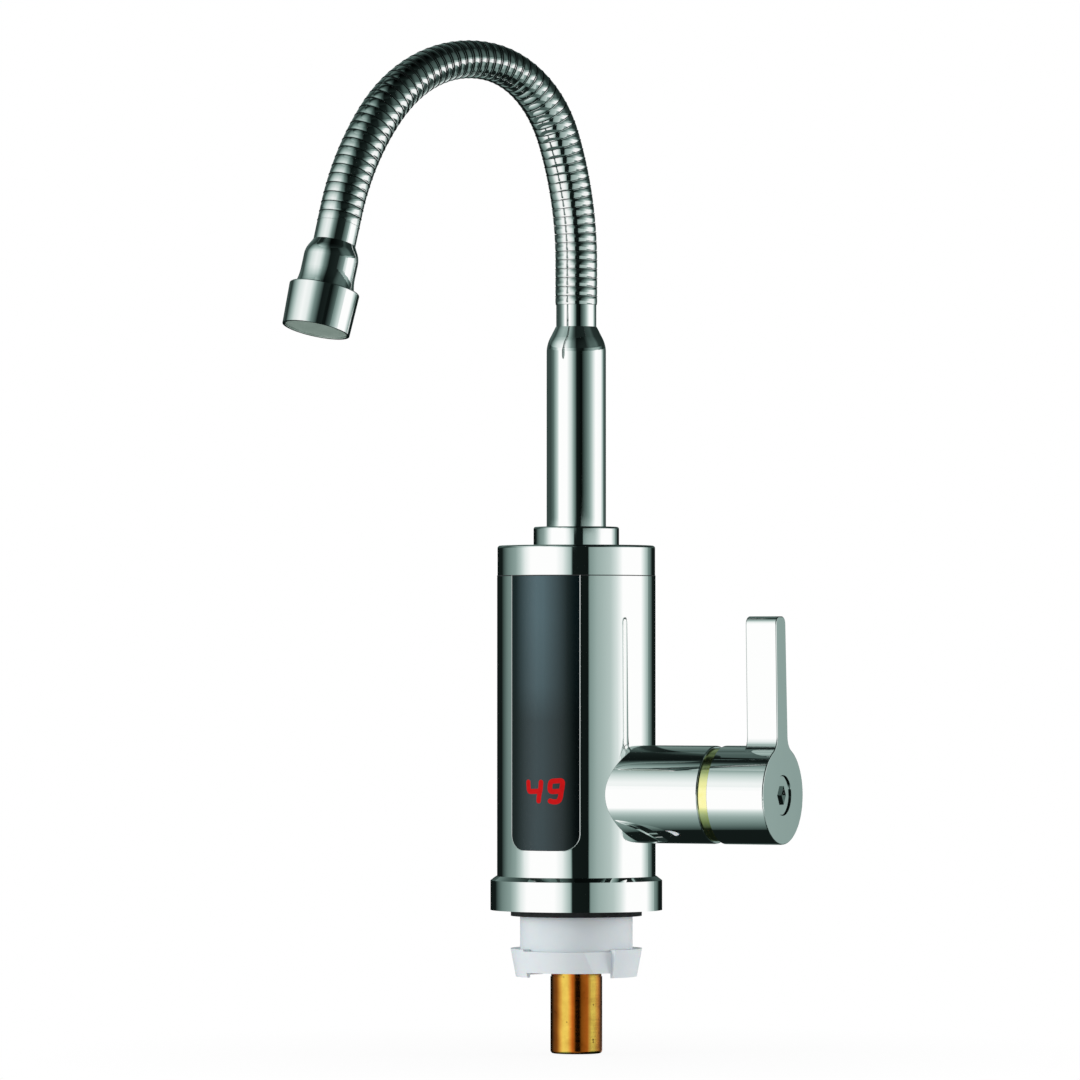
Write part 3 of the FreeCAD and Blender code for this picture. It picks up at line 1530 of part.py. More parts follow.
def water_tube():
    """The water's own tube runs through the hose from ferrule to ferrule."""
    before = (s.ferrule_length + s.ferrule_spigot_length).value
    after = (s.upper_ferrule_length + s.ferrule_spigot_length).value
    path = hose_path(before, after)
    outer = s.water_tube_diameter.value / 2
    solids = []
    for radius in (outer, outer - s.water_tube_wall.value):
        ring = Part.Wire([Part.Circle(path.Edges[0].Vertexes[0].Point, Vector(0, 0, 1), radius).toShape()])
        solids.append(path.makePipeShell([ring], True, True))
    thing = doc.addObject("Part::Feature", "water_tube")
    thing.Label = thing.Name
    thing.Shape = solids[0].cut(solids[1])
    return thing


# Outlet, turned round the hose's end with Z along the flow
outlet_place = hose_place(hose_length)
adapter_end = s.upper_ferrule_length + s.adapter_length
aerator_end = adapter_end + s.aerator_length
boss_end = adapter_end + s.adapter_boss_length
insert_start = boss_end + s.aerator_seal_thickness
aerator_inside = s.aerator_mouth_diameter / 2 - s.aerator_rim
insert_radius = aerator_inside - s.seat_clearance


def turn_outlet_piece(name, corners):
    body = turn_section(name, corners)
    body.Placement = outlet_place
    return body


def upper_ferrule():
    bore = s.hose_bore / 2
    well = s.tongue_diameter / 2 + s.tongue_room
    outer = s.upper_ferrule_diameter / 2
    spigot = s.ferrule_spigot_diameter / 2
    end = s.upper_ferrule_length + s.ferrule_spigot_length
    start = -(s.rib_gap - s.seat_clearance)
    return turn_outlet_piece(
        "upper_ferrule",
        [
            (well, start),
            (outer, start),
            (outer, s.upper_ferrule_length),
            (spigot, s.upper_ferrule_length),
            (spigot, end),
            (bore, end),
            (bore, start + s.tongue_well),
            (well, start + s.tongue_well),
        ],
    )


def outlet_adapter():
    start = s.upper_ferrule_length
    outer = s.adapter_diameter / 2
    shoulder = start + s.adapter_shoulder
    socket = s.ferrule_spigot_diameter / 2 + s.seat_clearance
    socket_end = start + s.ferrule_spigot_length + s.seat_clearance
    bore = s.adapter_bore / 2
    boss = s.adapter_boss_diameter / 2
    foot = adapter_end - s.adapter_foot
    body = turn_outlet_piece(
        "outlet_adapter",
        [
            (socket, start),
            (s.upper_ferrule_diameter / 2, start),
            (outer, shoulder),
            (outer, foot),
            (outer + s.adapter_flare, adapter_end),
            (boss, adapter_end),
            (boss, boss_end),
            (bore, boss_end),
            (bore, socket_end),
            (socket, socket_end),
        ],
    )
    round_ring(body, s.adapter_shoulder_round, outer, shoulder)
    round_ring(body, s.adapter_hollow, outer, foot)
    return body


def aerator_housing():
    top = s.aerator_top_diameter / 2
    mouth = s.aerator_mouth_diameter / 2
    collar = s.adapter_boss_diameter / 2 + s.seat_clearance
    shelf = adapter_end + s.aerator_plate
    body = turn_outlet_piece(
        "aerator_housing",
        [
            (collar, adapter_end),
            (top, adapter_end),
            (mouth, aerator_end),
            (aerator_inside, aerator_end),
            (aerator_inside, shelf),
            (collar, shelf),
        ],
    )
    round_ring(body, s.aerator_round, top, adapter_end)
    return body


def aerator_gasket():
    inner = s.adapter_bore / 2
    return turn_outlet_piece(
        "aerator_gasket",
        [
            (inner, boss_end),
            (insert_radius, boss_end),
            (insert_radius, insert_start),
            (inner, insert_start),
        ],
    )


def aerator_insert():
    face = aerator_end - s.insert_recess
    well = insert_radius - s.insert_wall
    floor = insert_start + s.insert_well_depth
    return turn_outlet_piece(
        "aerator_insert",
        [
            (well, insert_start),
            (insert_radius, insert_start),
            (insert_radius, face),
            (0, face),
            (0, floor),
            (well, floor),
        ],
    )


SUB_PARTS = [
    deck_gasket(),
    base_flange(),
    threaded_shank(),
    cable_grommet(),
    lock_nut(),
    inlet_pipe(),
    pipe_seal(),
    water_block(),
    chassis_screws(),
    feed_tube(),
    switch_plunger(),
    microswitch(),
    heating_chamber(),
    chamber_seal(),
    chamber_lid(),
    lid_screws(),
    heating_element(),
    thermal_cutout(),
    temperature_sensor(),
    body_shell(),
    display_lens(),
    top_cap(),
    control_board(),
    display_module(),
    power_relay(),
    valve_body(),
    valve_sleeve(),
    cartridge_body(),
    fixed_disc(),
    turning_disc(),
    cartridge_stem(),
    bonnet_nut(),
    lever_handle(),
    handle_screw(),
    swivel_collar(),
    slip_ring(),
    spout_tube(),
    spout_o_rings(),
    lower_ferrule(),
    *[hose_segment(number + 1) for number in range(HOSE_PIECES)],
    water_tube(),
    upper_ferrule(),
    outlet_adapter(),
    aerator_housing(),
    aerator_gasket(),
    aerator_insert(),
]

doc.recompute()
for thing in doc.Objects:
    assert not {"Invalid", "Error"} & set(thing.State), f"{thing.Name} failed"
for part in SUB_PARTS:
    assert not part.Shape.isNull() and part.Shape.isValid(), f"{part.Label} has no valid shape"
    assert part.Shape.Solids, f"{part.Label} has no solid"

os.makedirs("parts", exist_ok=True)
for part in SUB_PARTS:
    part.Shape.exportStep(f"parts/{part.Label}.step")
print(f"{len(SUB_PARTS)} sub-parts, hose {hose_length:.1f} mm long, ribs {rib_pitch:.3f} mm apart")
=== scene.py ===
import math

import bpy
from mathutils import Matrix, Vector


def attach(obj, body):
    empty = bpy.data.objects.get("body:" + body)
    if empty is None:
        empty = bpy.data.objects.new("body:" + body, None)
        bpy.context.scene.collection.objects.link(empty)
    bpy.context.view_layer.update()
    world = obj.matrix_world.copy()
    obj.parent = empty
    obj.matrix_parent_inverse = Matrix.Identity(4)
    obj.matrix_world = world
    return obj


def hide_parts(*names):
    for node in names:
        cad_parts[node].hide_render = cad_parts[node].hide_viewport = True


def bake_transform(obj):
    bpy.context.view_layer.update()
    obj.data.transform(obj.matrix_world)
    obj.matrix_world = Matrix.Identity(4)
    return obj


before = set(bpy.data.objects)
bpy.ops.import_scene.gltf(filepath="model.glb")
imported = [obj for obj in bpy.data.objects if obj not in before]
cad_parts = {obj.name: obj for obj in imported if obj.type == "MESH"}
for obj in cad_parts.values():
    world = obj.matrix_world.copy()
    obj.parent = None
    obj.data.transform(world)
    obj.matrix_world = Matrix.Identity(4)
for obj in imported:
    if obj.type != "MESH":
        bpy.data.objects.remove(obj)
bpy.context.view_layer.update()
MM = 0.001
UP = Vector((0, 0, 1))

# The photograph's frame, in its own pixels
PICTURE_SIDE = 1080
FOCAL_PIXELS = 7000
AXIS_COLUMN = 576.3
HORIZON_ROW = 660

# The eye, in metres, and its sensor, in millimetres
EYE_DISTANCE = 2.6515
EYE_HEIGHT = 0.0967
EYE_AZIMUTH = math.radians(26)
SIGHT_END = 20
SENSOR_WIDTH = 36
eye_back = Vector((math.sin(EYE_AZIMUTH), -math.cos(EYE_AZIMUTH), 0))
eye_right = Vector((math.cos(EYE_AZIMUTH), math.sin(EYE_AZIMUTH), 0))

# The studio, in metres
FLOOR_LEVEL = -0.0525
FLOOR_MIDDLE = 0.06
FLOOR_RADIUS = 0.22
WALL_RADIUS = 2.4
WALL_LEVELS = [-1.3, -0.19, 0.1925, 0.5, 0.8, 3.2]
FADE_START = 1.2
CARD_LEVEL = -0.15
CARD_RADIUS = 0.36

# The studio's levels of light, where one is white, and what each colour loses in the shades
SOFT_LIGHT = 0.55
FLOOR_GLOW = 0.93
TOP_FADE = 0.36
CEILING_MIDDLE = 0.01
SHADE_LOSS = {"Red": 0.4, "Green": 0.0, "Blue": 0.1}

# The lamps: metres to the right of the tap, towards the eye and up, and watts
LAMPS = {
    "key_lamp": (-1.9, 0.7, 0.4, 19),
    "fill_lamp": (1.95, 0.05, 0.35, 15),
}
LAMP_SIDE = 0.9
LAMP_AIM = 0.05

# The gooseneck in one upright plane: straight runs by length, and arcs by radius and turn
HOSE_BOTTOM = 231.2 * MM
HOSE_SWING = math.radians(24)
HOSE_RUNS = [
    (16.0 * MM, 0.0),
    (128.9 * MM, math.radians(21.4)),
    (41.65 * MM, math.radians(62.2)),
    (58.5 * MM, math.radians(58.8)),
    (102.5 * MM, math.radians(22.6)),
    (5.0 * MM, 0.0),
]
HOSE_PIECES = 7
HOSE_SIDES = 72
HOSE_SHARP = math.radians(28)
HOSE_TUBE_RADIUS = 4.9 * MM
RIBS_PER_PIECE = 9
BEND_MARGIN_RIBS = 1.2

# The hose's crown: shares by which it thins and its ribs open, and metres along the hose
HOSE_THINNING = 0.11
HOSE_OPENING = 0.3
HOSE_THINNEST = 118 * MM
HOSE_THIN_REACH = 52 * MM

# One turn of the strip: share of the rib's pitch, radius, and whether the groove's painted shade
# follows
RIB_END = 0.89
RIB_PROFILE = [
    (0.00, 7.20 * MM, True),
    (0.015, 7.20 * MM, True),
    (0.03, 7.78 * MM, False),
    (0.15, 7.86 * MM, False),
    (0.35, 7.92 * MM, False),
    (0.60, 7.92 * MM, False),
    (0.78, 7.88 * MM, False),
    (RIB_END, 7.82 * MM, True),
    (0.91, 8.04 * MM, False),
    (0.965, 8.04 * MM, True),
    (0.985, 7.20 * MM, True),
]
TUBE_PROFILE = [(0.0, HOSE_TUBE_RADIUS, False), (0.5, HOSE_TUBE_RADIUS, False)]

# The readout: sizes in metres, and corners in millimetres along the lens's face and up from the deck
LENS_RADIUS = 29.9 * MM
STROKE_RISE = 0.03 * MM
STROKE_DEPTH = 0.1 * MM
STROKE_WIDTH = 1.9 * MM
STROKE_SECTION = [
    (1, STROKE_RISE),
    (0, STROKE_RISE),
    (-1, STROKE_RISE),
    (-1, -STROKE_DEPTH),
    (1, -STROKE_DEPTH),
]
CORNER_CUTS = 3
READOUT = {
    "digit_four_hook": [(-5.9, 50.9), (-5.8, 49.2), (-5.6, 47.4), (-4.2, 47.4), (-1.2, 47.5)],
    "digit_four_stem": [(-0.3, 50.9), (-0.5, 48.2), (-1.1, 46.2), (-1.3, 43.9)],
    "digit_nine_loop": [
        (7.4, 47.6),
        (4.9, 47.4),
        (3.4, 47.5),
        (3.3, 49.4),
        (3.7, 51.3),
        (5.8, 51.4),
        (8.2, 51.6),
        (8.2, 49.8),
        (7.7, 47.4),
        (7.4, 45.0),
        (6.6, 43.7),
        (4.8, 43.5),
        (3.4, 43.9),
    ],
}

# The bright edge of the display window and the seam under the cap, in metres
WINDOW_HALF = 14.25 * MM
WINDOW_SILL = 25.1 * MM
WINDOW_TOP = 128.5 * MM
WINDOW_ROUND = 6.2 * MM
SHELL_RADIUS = 30.0 * MM
TRIM_RADIUS = 0.15 * MM
TRIM_SHARP = math.radians(60)
SEAM_HEIGHT = 0.35 * MM
SEAM_RISE = 0.03 * MM

# The inlet pipe, in metres
PIPE_RADIUS = 9.8 * MM

# The range in which most of a noise lies
NOISE_LOW = 0.3
NOISE_HIGH = 0.7


# Node trees
def new_node(tree, kind, **settings):
    node = tree.nodes.new(kind)
    for name, value in settings.items():
        setattr(node, name, value)
    return node


def calculate(tree, operation, first, second=0.0):
    """A maths node on sockets or plain numbers."""
    node = new_node(tree, "ShaderNodeMath", operation=operation)
    for socket, value in zip(node.inputs, (first, second)):
        if isinstance(value, bpy.types.NodeSocket):
            tree.links.new(value, socket)
        else:
            socket.default_value = value
    return node.outputs["Value"]


def along_axis(tree, place, axis):
    """How far a place lies along an axis."""
    node = new_node(tree, "ShaderNodeVectorMath", operation="DOT_PRODUCT")
    tree.links.new(place, node.inputs[0])
    node.inputs[1].default_value = axis
    return node.outputs["Value"]


def shown_rays(tree):
    """One for the rays that show a surface: camera, glossy and transmission rays."""
    path = new_node(tree, "ShaderNodeLightPath")
    shown = calculate(tree, "MAXIMUM", path.outputs["Is Camera Ray"], path.outputs["Is Glossy Ray"])
    return calculate(tree, "MAXIMUM", shown, path.outputs["Is Transmission Ray"])


def place_texture(tree, stretch=(1, 1, 1)):
    """Object coordinates, in metres, stretched along the axes."""
    place = new_node(tree, "ShaderNodeTexCoord")
    scaled = new_node(tree, "ShaderNodeMapping")
    scaled.inputs["Scale"].default_value = stretch
    tree.links.new(place.outputs["Object"], scaled.inputs["Vector"])
    return scaled.outputs["Vector"]


def position_along(tree, axis):
    """How far a point of a thing lies along an axis, whichever way the thing has moved."""
    return along_axis(tree, place_texture(tree), axis)


def noise(tree, size, detail=3.0, stretch=(1, 1, 1)):
    """Noise with features about so large, in metres."""
    texture = new_node(tree, "ShaderNodeTexNoise")
    texture.inputs["Scale"].default_value = 1 / size
    texture.inputs["Detail"].default_value = detail
    tree.links.new(place_texture(tree, stretch), texture.inputs["Vector"])
    return texture.outputs["Fac"]


def spread(tree, factor, low, high, start=NOISE_LOW, end=NOISE_HIGH):
    """Takes a factor from start to end to numbers from low to high."""
    node = new_node(tree, "ShaderNodeMapRange")
    tree.links.new(factor, node.inputs["Value"])
    for name, value in (("From Min", start), ("From Max", end), ("To Min", low), ("To Max", high)):
        node.inputs[name].default_value = value
    return node.outputs["Result"]


def ramp(tree, factor, stops):
    """Colours along a factor from 0 to 1."""
    node = new_node(tree, "ShaderNodeValToRGB")
    points = node.color_ramp.elements
    while len(points) < len(stops):
        points.new(1.0)
    for point, (place, colour) in zip(points, stops):
        point.position = place
        point.color = (*colour, 1)
    tree.links.new(factor, node.inputs["Fac"])
    return node.outputs["Color"]


def mixed_colours(tree, first, second):
    """Two colours multiplied."""
    node = new_node(tree, "ShaderNodeMix", data_type="RGBA", blend_type="MULTIPLY")
    node.inputs["Factor"].default_value = 1.0
    colours = [socket for socket in node.inputs if socket.type == "RGBA"]
    tree.links.new(first, colours[0])
    tree.links.new(second, colours[1])
    return next(socket for socket in node.outputs if socket.type == "RGBA")


def dye(tree, shader, factor, dark, light):
    """Colours a shader from dark to light along a noise."""
    tint = ramp(tree, factor, [(NOISE_LOW, dark), (NOISE_HIGH, light)])
    tree.links.new(tint, shader.inputs["Base Color"])


def polish(tree, shader, factor, low, high):
    """Gives a shader a roughness from low to high along a noise."""
    tree.links.new(spread(tree, factor, low, high), shader.inputs["Roughness"])


def roughen(tree, shader, height, depth):
    """Gives a shader bump of so deep, in metres."""
    node = new_node(tree, "ShaderNodeBump")
    node.inputs["Strength"].default_value = 1.0
    node.inputs["Distance"].default_value = depth
    tree.links.new(height, node.inputs["Height"])
    tree.links.new(node.outputs["Normal"], shader.inputs["Normal"])


def blank_material(name):
    """A material of that name with an empty tree, and its output."""
    material = bpy.data.materials.get(name) or bpy.data.materials.new(name)
    material.use_nodes = True
    tree = material.node_tree
    tree.nodes.clear()
    return material, tree, new_node(tree, "ShaderNodeOutputMaterial")


def surface(name, **sockets):
    """A material of that name, made afresh, with plain values on its shader's sockets."""
    material, tree, output = blank_material(name)
    shader = new_node(tree, "ShaderNodeBsdfPrincipled")
    tree.links.new(shader.outputs["BSDF"], output.inputs["Surface"])
    for socket, value in sockets.items():
        place = shader.inputs[socket.replace("_", " ").title().replace("Ior", "IOR")]
        place.default_value = (*value, 1) if isinstance(value, tuple) else value
    return material, tree, shader


# Finishes
def chrome_finish():
    material, tree, shader = surface("chrome", base_color=(0.985, 0.99, 0.985), metallic=1.0)
    polish(tree, shader, noise(tree, 9 * MM), 0.015, 0.04)
    roughen(tree, shader, noise(tree, 14 * MM, detail=1.0), 0.015 * MM)
    return material


def hose_finish():
    material, tree, shader = surface("hose_steel", base_color=(0.90, 0.915, 0.905), metallic=1.0)
    polish(tree, shader, noise(tree, 4 * MM), 0.04, 0.1)
    roughen(tree, shader, noise(tree, 3 * MM, detail=2.0), 0.03 * MM)
    return material


def painted_groove_shade():
    """Painted shade between the turns of the hose."""
    material, tree, shader = surface("hose_groove_shade", metallic=0.6)
    dye(tree, shader, noise(tree, 2 * MM), (0.006, 0.009, 0.009), (0.014, 0.019, 0.018))
    polish(tree, shader, noise(tree, 1 * MM), 0.4, 0.6)
    return material


def nylon_finish():
    _, tree, shader = surface("white_nylon", subsurface_weight=0.15, subsurface_scale=2 * MM)
    dye(tree, shader, noise(tree, 12 * MM), (0.78, 0.84, 0.88), (0.83, 0.875, 0.90))
    polish(tree, shader, noise(tree, 2 * MM), 0.38, 0.52)
    roughen(tree, shader, noise(tree, 0.6 * MM, detail=4.0), 0.02 * MM)


def rubber_finish():
    _, tree, shader = surface("black_rubber", specular_ior_level=0.35)
    dye(tree, shader, noise(tree, 3 * MM), (0.012, 0.013, 0.014), (0.024, 0.025, 0.026))
    polish(tree, shader, noise(tree, 1 * MM), 0.55, 0.8)
    roughen(tree, shader, noise(tree, 0.4 * MM, detail=4.0), 0.03 * MM)


def pipe_finish():
    """Drawn tube, gold along two sides as painted highlights and tarnished between them, with rings
    and dark nicks.
    """
    _, tree, shader = surface("golden_metal", metallic=1.0)
    aside = position_along(tree, eye_right)
    share = spread(tree, aside, 0.0, 1.0, start=-PIPE_RADIUS, end=PIPE_RADIUS)
    painted_highlight_gold = (0.88, 0.62, 0.11)
    tarnish = (0.78, 0.17, 0.018)
    clean = (1, 1, 1)
    # The gold stripes are painted highlights, laid along the eye's left-right line where the
    # reflections fall.
    stops = [(0.12, tarnish), (0.24, painted_highlight_gold), (0.32, painted_highlight_gold), (0.42, tarnish)]
    stops += [(0.71, tarnish), (0.79, painted_highlight_gold), (0.85, painted_highlight_gold), (0.95, tarnish)]
    metal_with_painted_highlights = ramp(tree, share, stops)
    blotches = noise(tree, 5 * MM, detail=4.0)
    stain = ramp(tree, blotches, [(0.3, (0.80, 0.72, 0.66)), (0.6, clean)])
    specks = noise(tree, 1.6 * MM, detail=2.0)
    nick = ramp(tree, specks, [(0.25, (0.3, 0.24, 0.2)), (0.31, clean)])
    worn_with_painted_highlights = mixed_colours(tree, mixed_colours(tree, metal_with_painted_highlights, stain), nick)
    tree.links.new(worn_with_painted_highlights, shader.inputs["Base Color"])
    rings = noise(tree, 2.5 * MM, detail=4.0, stretch=(0.12, 0.12, 6.0))
    polish(tree, shader, rings, 0.12, 0.2)
    roughen(tree, shader, rings, 0.004 * MM)


def brass_finish():
    _, tree, shader = surface("brass", metallic=1.0)
    dye(tree, shader, noise(tree, 5 * MM), (0.95, 0.90, 0.34), (1.0, 0.97, 0.50))
    rings = noise(tree, 1.5 * MM, detail=3.0, stretch=(8.0, 0.2, 0.2))
    polish(tree, shader, rings, 0.08, 0.16)
    roughen(tree, shader, rings, 0.003 * MM)


def grey_finish():
    _, tree, shader = surface("grey_plastic", specular_ior_level=0.4)
    dye(tree, shader, noise(tree, 5 * MM), (0.33, 0.44, 0.38), (0.38, 0.49, 0.43))
    polish(tree, shader, noise(tree, 1.5 * MM), 0.4, 0.55)
    roughen(tree, shader, noise(tree, 0.5 * MM, detail=4.0), 0.015 * MM)


def lens_finish():
    """Satin smoked plastic with painted light: lighter along its middle as a painted highlight, and
    lighter in its upper half.
    """
    tint = (0.85, 1.0, 1.0)
    _, tree, shader = surface("dark_lens", specular_ior_level=0.45, specular_tint=tint)
    height = position_along(tree, UP)
    rise = spread(tree, height, 0.0, 1.0, start=WINDOW_SILL, end=WINDOW_TOP)
    # Painted light: the lens grows lighter upwards.
    painted_light_levels = [(0.47, 0.38), (0.6, 0.8), (0.85, 1.06)]
    clear = ramp(tree, rise, [(place, (level, level, level)) for place, level in painted_light_levels])
    aside = position_along(tree, (1, 0, 0))
    share = spread(tree, aside, 0.0, 1.0, start=-WINDOW_HALF, end=WINDOW_HALF)
    black = (0.001, 0.006, 0.008)
    painted_highlight_tint = (0.064, 0.114, 0.133)
    # Painted highlight: the lens is lighter along its middle.
    middle = ramp(tree, share, [(0.08, black), (0.42, painted_highlight_tint), (0.52, painted_highlight_tint), (0.85, black)])
    tree.links.new(mixed_colours(tree, clear, middle), shader.inputs["Base Color"])
    polish(tree, shader, noise(tree, 1.2 * MM), 0.2, 0.25)
    roughen(tree, shader, noise(tree, 0.35 * MM, detail=3.0), 0.002 * MM)


def moulded_finish(name, dark, light, low_gloss, high_gloss):
    """A moulded or fired material with a fine grain."""
    material, tree, shader = surface(name)
    dye(tree, shader, noise(tree, 5 * MM), dark, light)
    polish(tree, shader, noise(tree, 1 * MM), low_gloss, high_gloss)
    roughen(tree, shader, noise(tree, 0.5 * MM, detail=4.0), 0.02 * MM)
    return material


def steel_finish():
    _, tree, shader = surface("steel", metallic=1.0)
    grain = noise(tree, 2 * MM, detail=4.0, stretch=(0.3, 0.3, 5.0))
    dye(tree, shader, grain, (0.50, 0.51, 0.52), (0.64, 0.65, 0.66))
    polish(tree, shader, grain, 0.2, 0.36)
    roughen(tree, shader, grain, 0.01 * MM)


def tube_finish():
    material, tree, shader = surface("clear_tube", transmission_weight=0.6, ior=1.45)
    dye(tree, shader, noise(tree, 8 * MM), (0.80, 0.84, 0.84), (0.88, 0.91, 0.91))
    polish(tree, shader, noise(tree, 2 * MM), 0.2, 0.3)
    return material


def digit_finish():
    red = (0.80, 0.004, 0.006)
    material, tree, shader = surface(
        "readout_red", emission_strength=0.3, emission_color=red, specular_ior_level=0.1
    )
    grain = noise(tree, 2 * MM)
    dye(tree, shader, grain, (0.30, 0.003, 0.004), (0.40, 0.006, 0.006))
    polish(tree, shader, grain, 0.4, 0.55)
    return material


chrome = chrome_finish()
hose_steel = hose_finish()
hose_groove_shade = painted_groove_shade()
nylon_finish()
rubber_finish()
pipe_finish()
brass_finish()
grey_finish()
lens_finish()
steel_finish()
clear_tube = tube_finish()
readout_red = digit_finish()
moulded_finish("board", (0.015, 0.075, 0.035), (0.025, 0.11, 0.05), 0.35, 0.5)
black_plastic = moulded_finish(
    "black_plastic", (0.018, 0.019, 0.02), (0.032, 0.033, 0.035), 0.4, 0.55
)
moulded_finish("heat_plastic", (0.10, 0.075, 0.05), (0.15, 0.115, 0.08), 0.45, 0.6)
moulded_finish("ceramic", (0.72, 0.72, 0.69), (0.84, 0.84, 0.81), 0.15, 0.28)


# Meshes
def add_mesh(name, points, faces, material):
    mesh = bpy.data.meshes.new(name)
    mesh.from_pydata([tuple(point) for point in points], [], faces)
    mesh.materials.append(material)
    mesh.update()
    thing = bpy.data.objects.new(name, mesh)
    bpy.context.scene.collection.objects.link(thing)
    return thing


def smooth(thing, sharp_angle):
    """Smooth shading, with edges sharper than that left sharp."""
    mesh = thing.data
    mesh.polygons.foreach_set("use_smooth", [True] * len(mesh.polygons))
    mesh.set_sharp_from_angle(angle=sharp_angle)


def circle(radius, level, sides):
    """Points round the upright axis, at a level."""
    turns = [2 * math.pi * side / sides for side in range(sides)]
    return [(radius * math.cos(turn), radius * math.sin(turn), level) for turn in turns]


def ring_faces(rings, sides, closed_ends=True):
    """Faces between rings of points, each ring with so many sides."""
    faces = []
    for ring in range(rings - 1):
        for side in range(sides):
            here = ring * sides + side
            beside = ring * sides + (side + 1) % sides
            faces.append((here, beside, beside + sides, here + sides))
    if closed_ends:
        faces.append(tuple(reversed(range(sides))))
        faces.append(tuple(range((rings - 1) * sides, rings * sides)))
    return faces


# Gooseneck
outward = Vector((-math.sin(HOSE_SWING), -math.cos(HOSE_SWING), 0))
across = UP.cross(outward)
hose_length = sum(size * turn if turn else size for size, turn in HOSE_RUNS)
rib_pitch = hose_length / (HOSE_PIECES * RIBS_PER_PIECE)


def hose_place(distance):
    """The centre and the direction of the hose, so far along it."""
    reach = 0.0
    rise = HOSE_BOTTOM
    lean = 0.0
    for size, turn in HOSE_RUNS:
        length = size * turn if turn else size
        step = min(distance, length)
        if turn:
            ahead = lean + step / size
            reach += size * (math.cos(lean) - math.cos(ahead))
            rise += size * (math.sin(ahead) - math.sin(lean))
            lean = ahead
        else:
            reach += step * math.sin(lean)
            rise += step * math.cos(lean)
        distance -= step
        if distance <= 0:
            break
    centre = outward * reach + UP * rise
    along = outward * math.sin(lean) + UP * math.cos(lean)
    return centre, along


def crown_nearness(distance):
    """One where the crown is drawn out most, and nothing far from there."""
    return max(0.0, 1 - ((distance - HOSE_THINNEST) / HOSE_THIN_REACH) ** 2) ** 2


def hose_ring(distance, radius):
    """A ring of points, a little thinner over the crown, on the inner side of the bend."""
    centre, along = hose_place(distance)
    side = along.cross(across)
    thinning = radius * HOSE_THINNING * crown_nearness(distance)
    radius -= thinning
    centre += side * thinning
    points = []
    for index in range(HOSE_SIDES):
        angle = 2 * math.pi * index / HOSE_SIDES
        points.append(centre + (across * math.cos(angle) + side * math.sin(angle)) * radius)
    return points


def hose_stretch(name, first_rib, last_rib, profile, materials):
    """A stretch whose profile repeats once in each rib, with any second material in its grooves."""
    points = []
    for rib in range(first_rib, last_rib):
        cover = 1 - HOSE_OPENING * crown_nearness(rib * rib_pitch)
        for share, radius, _ in profile:
            place = share if share > RIB_END else share * cover
            points += hose_ring((rib + place) * rib_pitch, radius)
    points += hose_ring(last_rib * rib_pitch, profile[0][1])
    rings = (last_rib - first_rib) * len(profile) + 1
    stretch = add_mesh(name, points, ring_faces(rings, HOSE_SIDES), materials[0])
    for material in materials[1:]:
        stretch.data.materials.append(material)
    # The faces in the grooves take the second material; for the hose that is painted shade.
    for ring in range(rings - 1):
        if profile[ring % len(profile)][2]:
            for side in range(HOSE_SIDES):
                stretch.data.polygons[ring * HOSE_SIDES + side].material_index = 1
    smooth(stretch, HOSE_SHARP)
    return stretch


def bend_hose(thing, first_rib, last_rib):
    """Bakes a stretch's place into its points; it is not bent, and the ends worked out for the bend
    are not used.
    """
    start, _ = hose_place((first_rib + BEND_MARGIN_RIBS) * rib_pitch)
    end, _ = hose_place((last_rib - BEND_MARGIN_RIBS) * rib_pitch)
    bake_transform(thing)


def gooseneck():
    """Six stretches of hose and of the tube in it, each round one of the places where it bends."""
    middle = RIBS_PER_PIECE // 2
    joints = HOSE_PIECES - 1
    steels = [hose_steel, hose_groove_shade]
    for joint in range(joints):
        bend_start = joint * RIBS_PER_PIECE + middle
        bend_end = bend_start + RIBS_PER_PIECE
        first_rib = bend_start if joint else 0
        last_rib = bend_end if joint < joints - 1 else HOSE_PIECES * RIBS_PER_PIECE
        number = joint + 1
        strip = hose_stretch(f"gooseneck_{number}", first_rib, last_rib, RIB_PROFILE, steels)
        bend_hose(strip, bend_start, bend_end)
        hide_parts(f"hose_segment_{number}")
        tube = hose_stretch(f"water_tube_{number}", first_rib, last_rib, TUBE_PROFILE, [clear_tube])
        bend_hose(tube, bend_start, bend_end)
        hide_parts("water_tube")
    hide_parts(f"hose_segment_{HOSE_PIECES}")


gooseneck()


# Display
def lens_point(along, level, radius):
    """A point on the lens's round face, so far along it from its middle."""
    angle = along / LENS_RADIUS
    return Vector((math.sin(angle) * radius, -math.cos(angle) * radius, level))


def rounded_path(corners):
    """A line whose corners are cut a few times, between the same ends."""
    path = [Vector(corner) * MM for corner in corners]
    for _ in range(CORNER_CUTS):
        cut = [path[0]]
        for here, there in zip(path, path[1:]):
            cut += [here.lerp(there, 0.25), here.lerp(there, 0.75)]
        path = cut + [path[-1]]
    return path


def stroke_sections(path):
    """Middles, half widths and directions along a stroke with round ends."""
    half = STROKE_WIDTH / 2
    steps = 6
    start = (path[1] - path[0]).normalized()
    end = (path[-1] - path[-2]).normalized()
    sections = []
    for step in range(1, steps + 1):
        angle = math.pi / 2 * step / steps
        sections.append((path[0] - start * half * math.cos(angle), half * math.sin(angle), start))
    for before, here, after in zip(path, path[1:], path[2:]):
        sections.append((here, half, (after - before).normalized()))
    for step in range(steps, 0, -1):
        angle = math.pi / 2 * step / steps
        sections.append((path[-1] + end * half * math.cos(angle), half * math.sin(angle), end))
    return sections


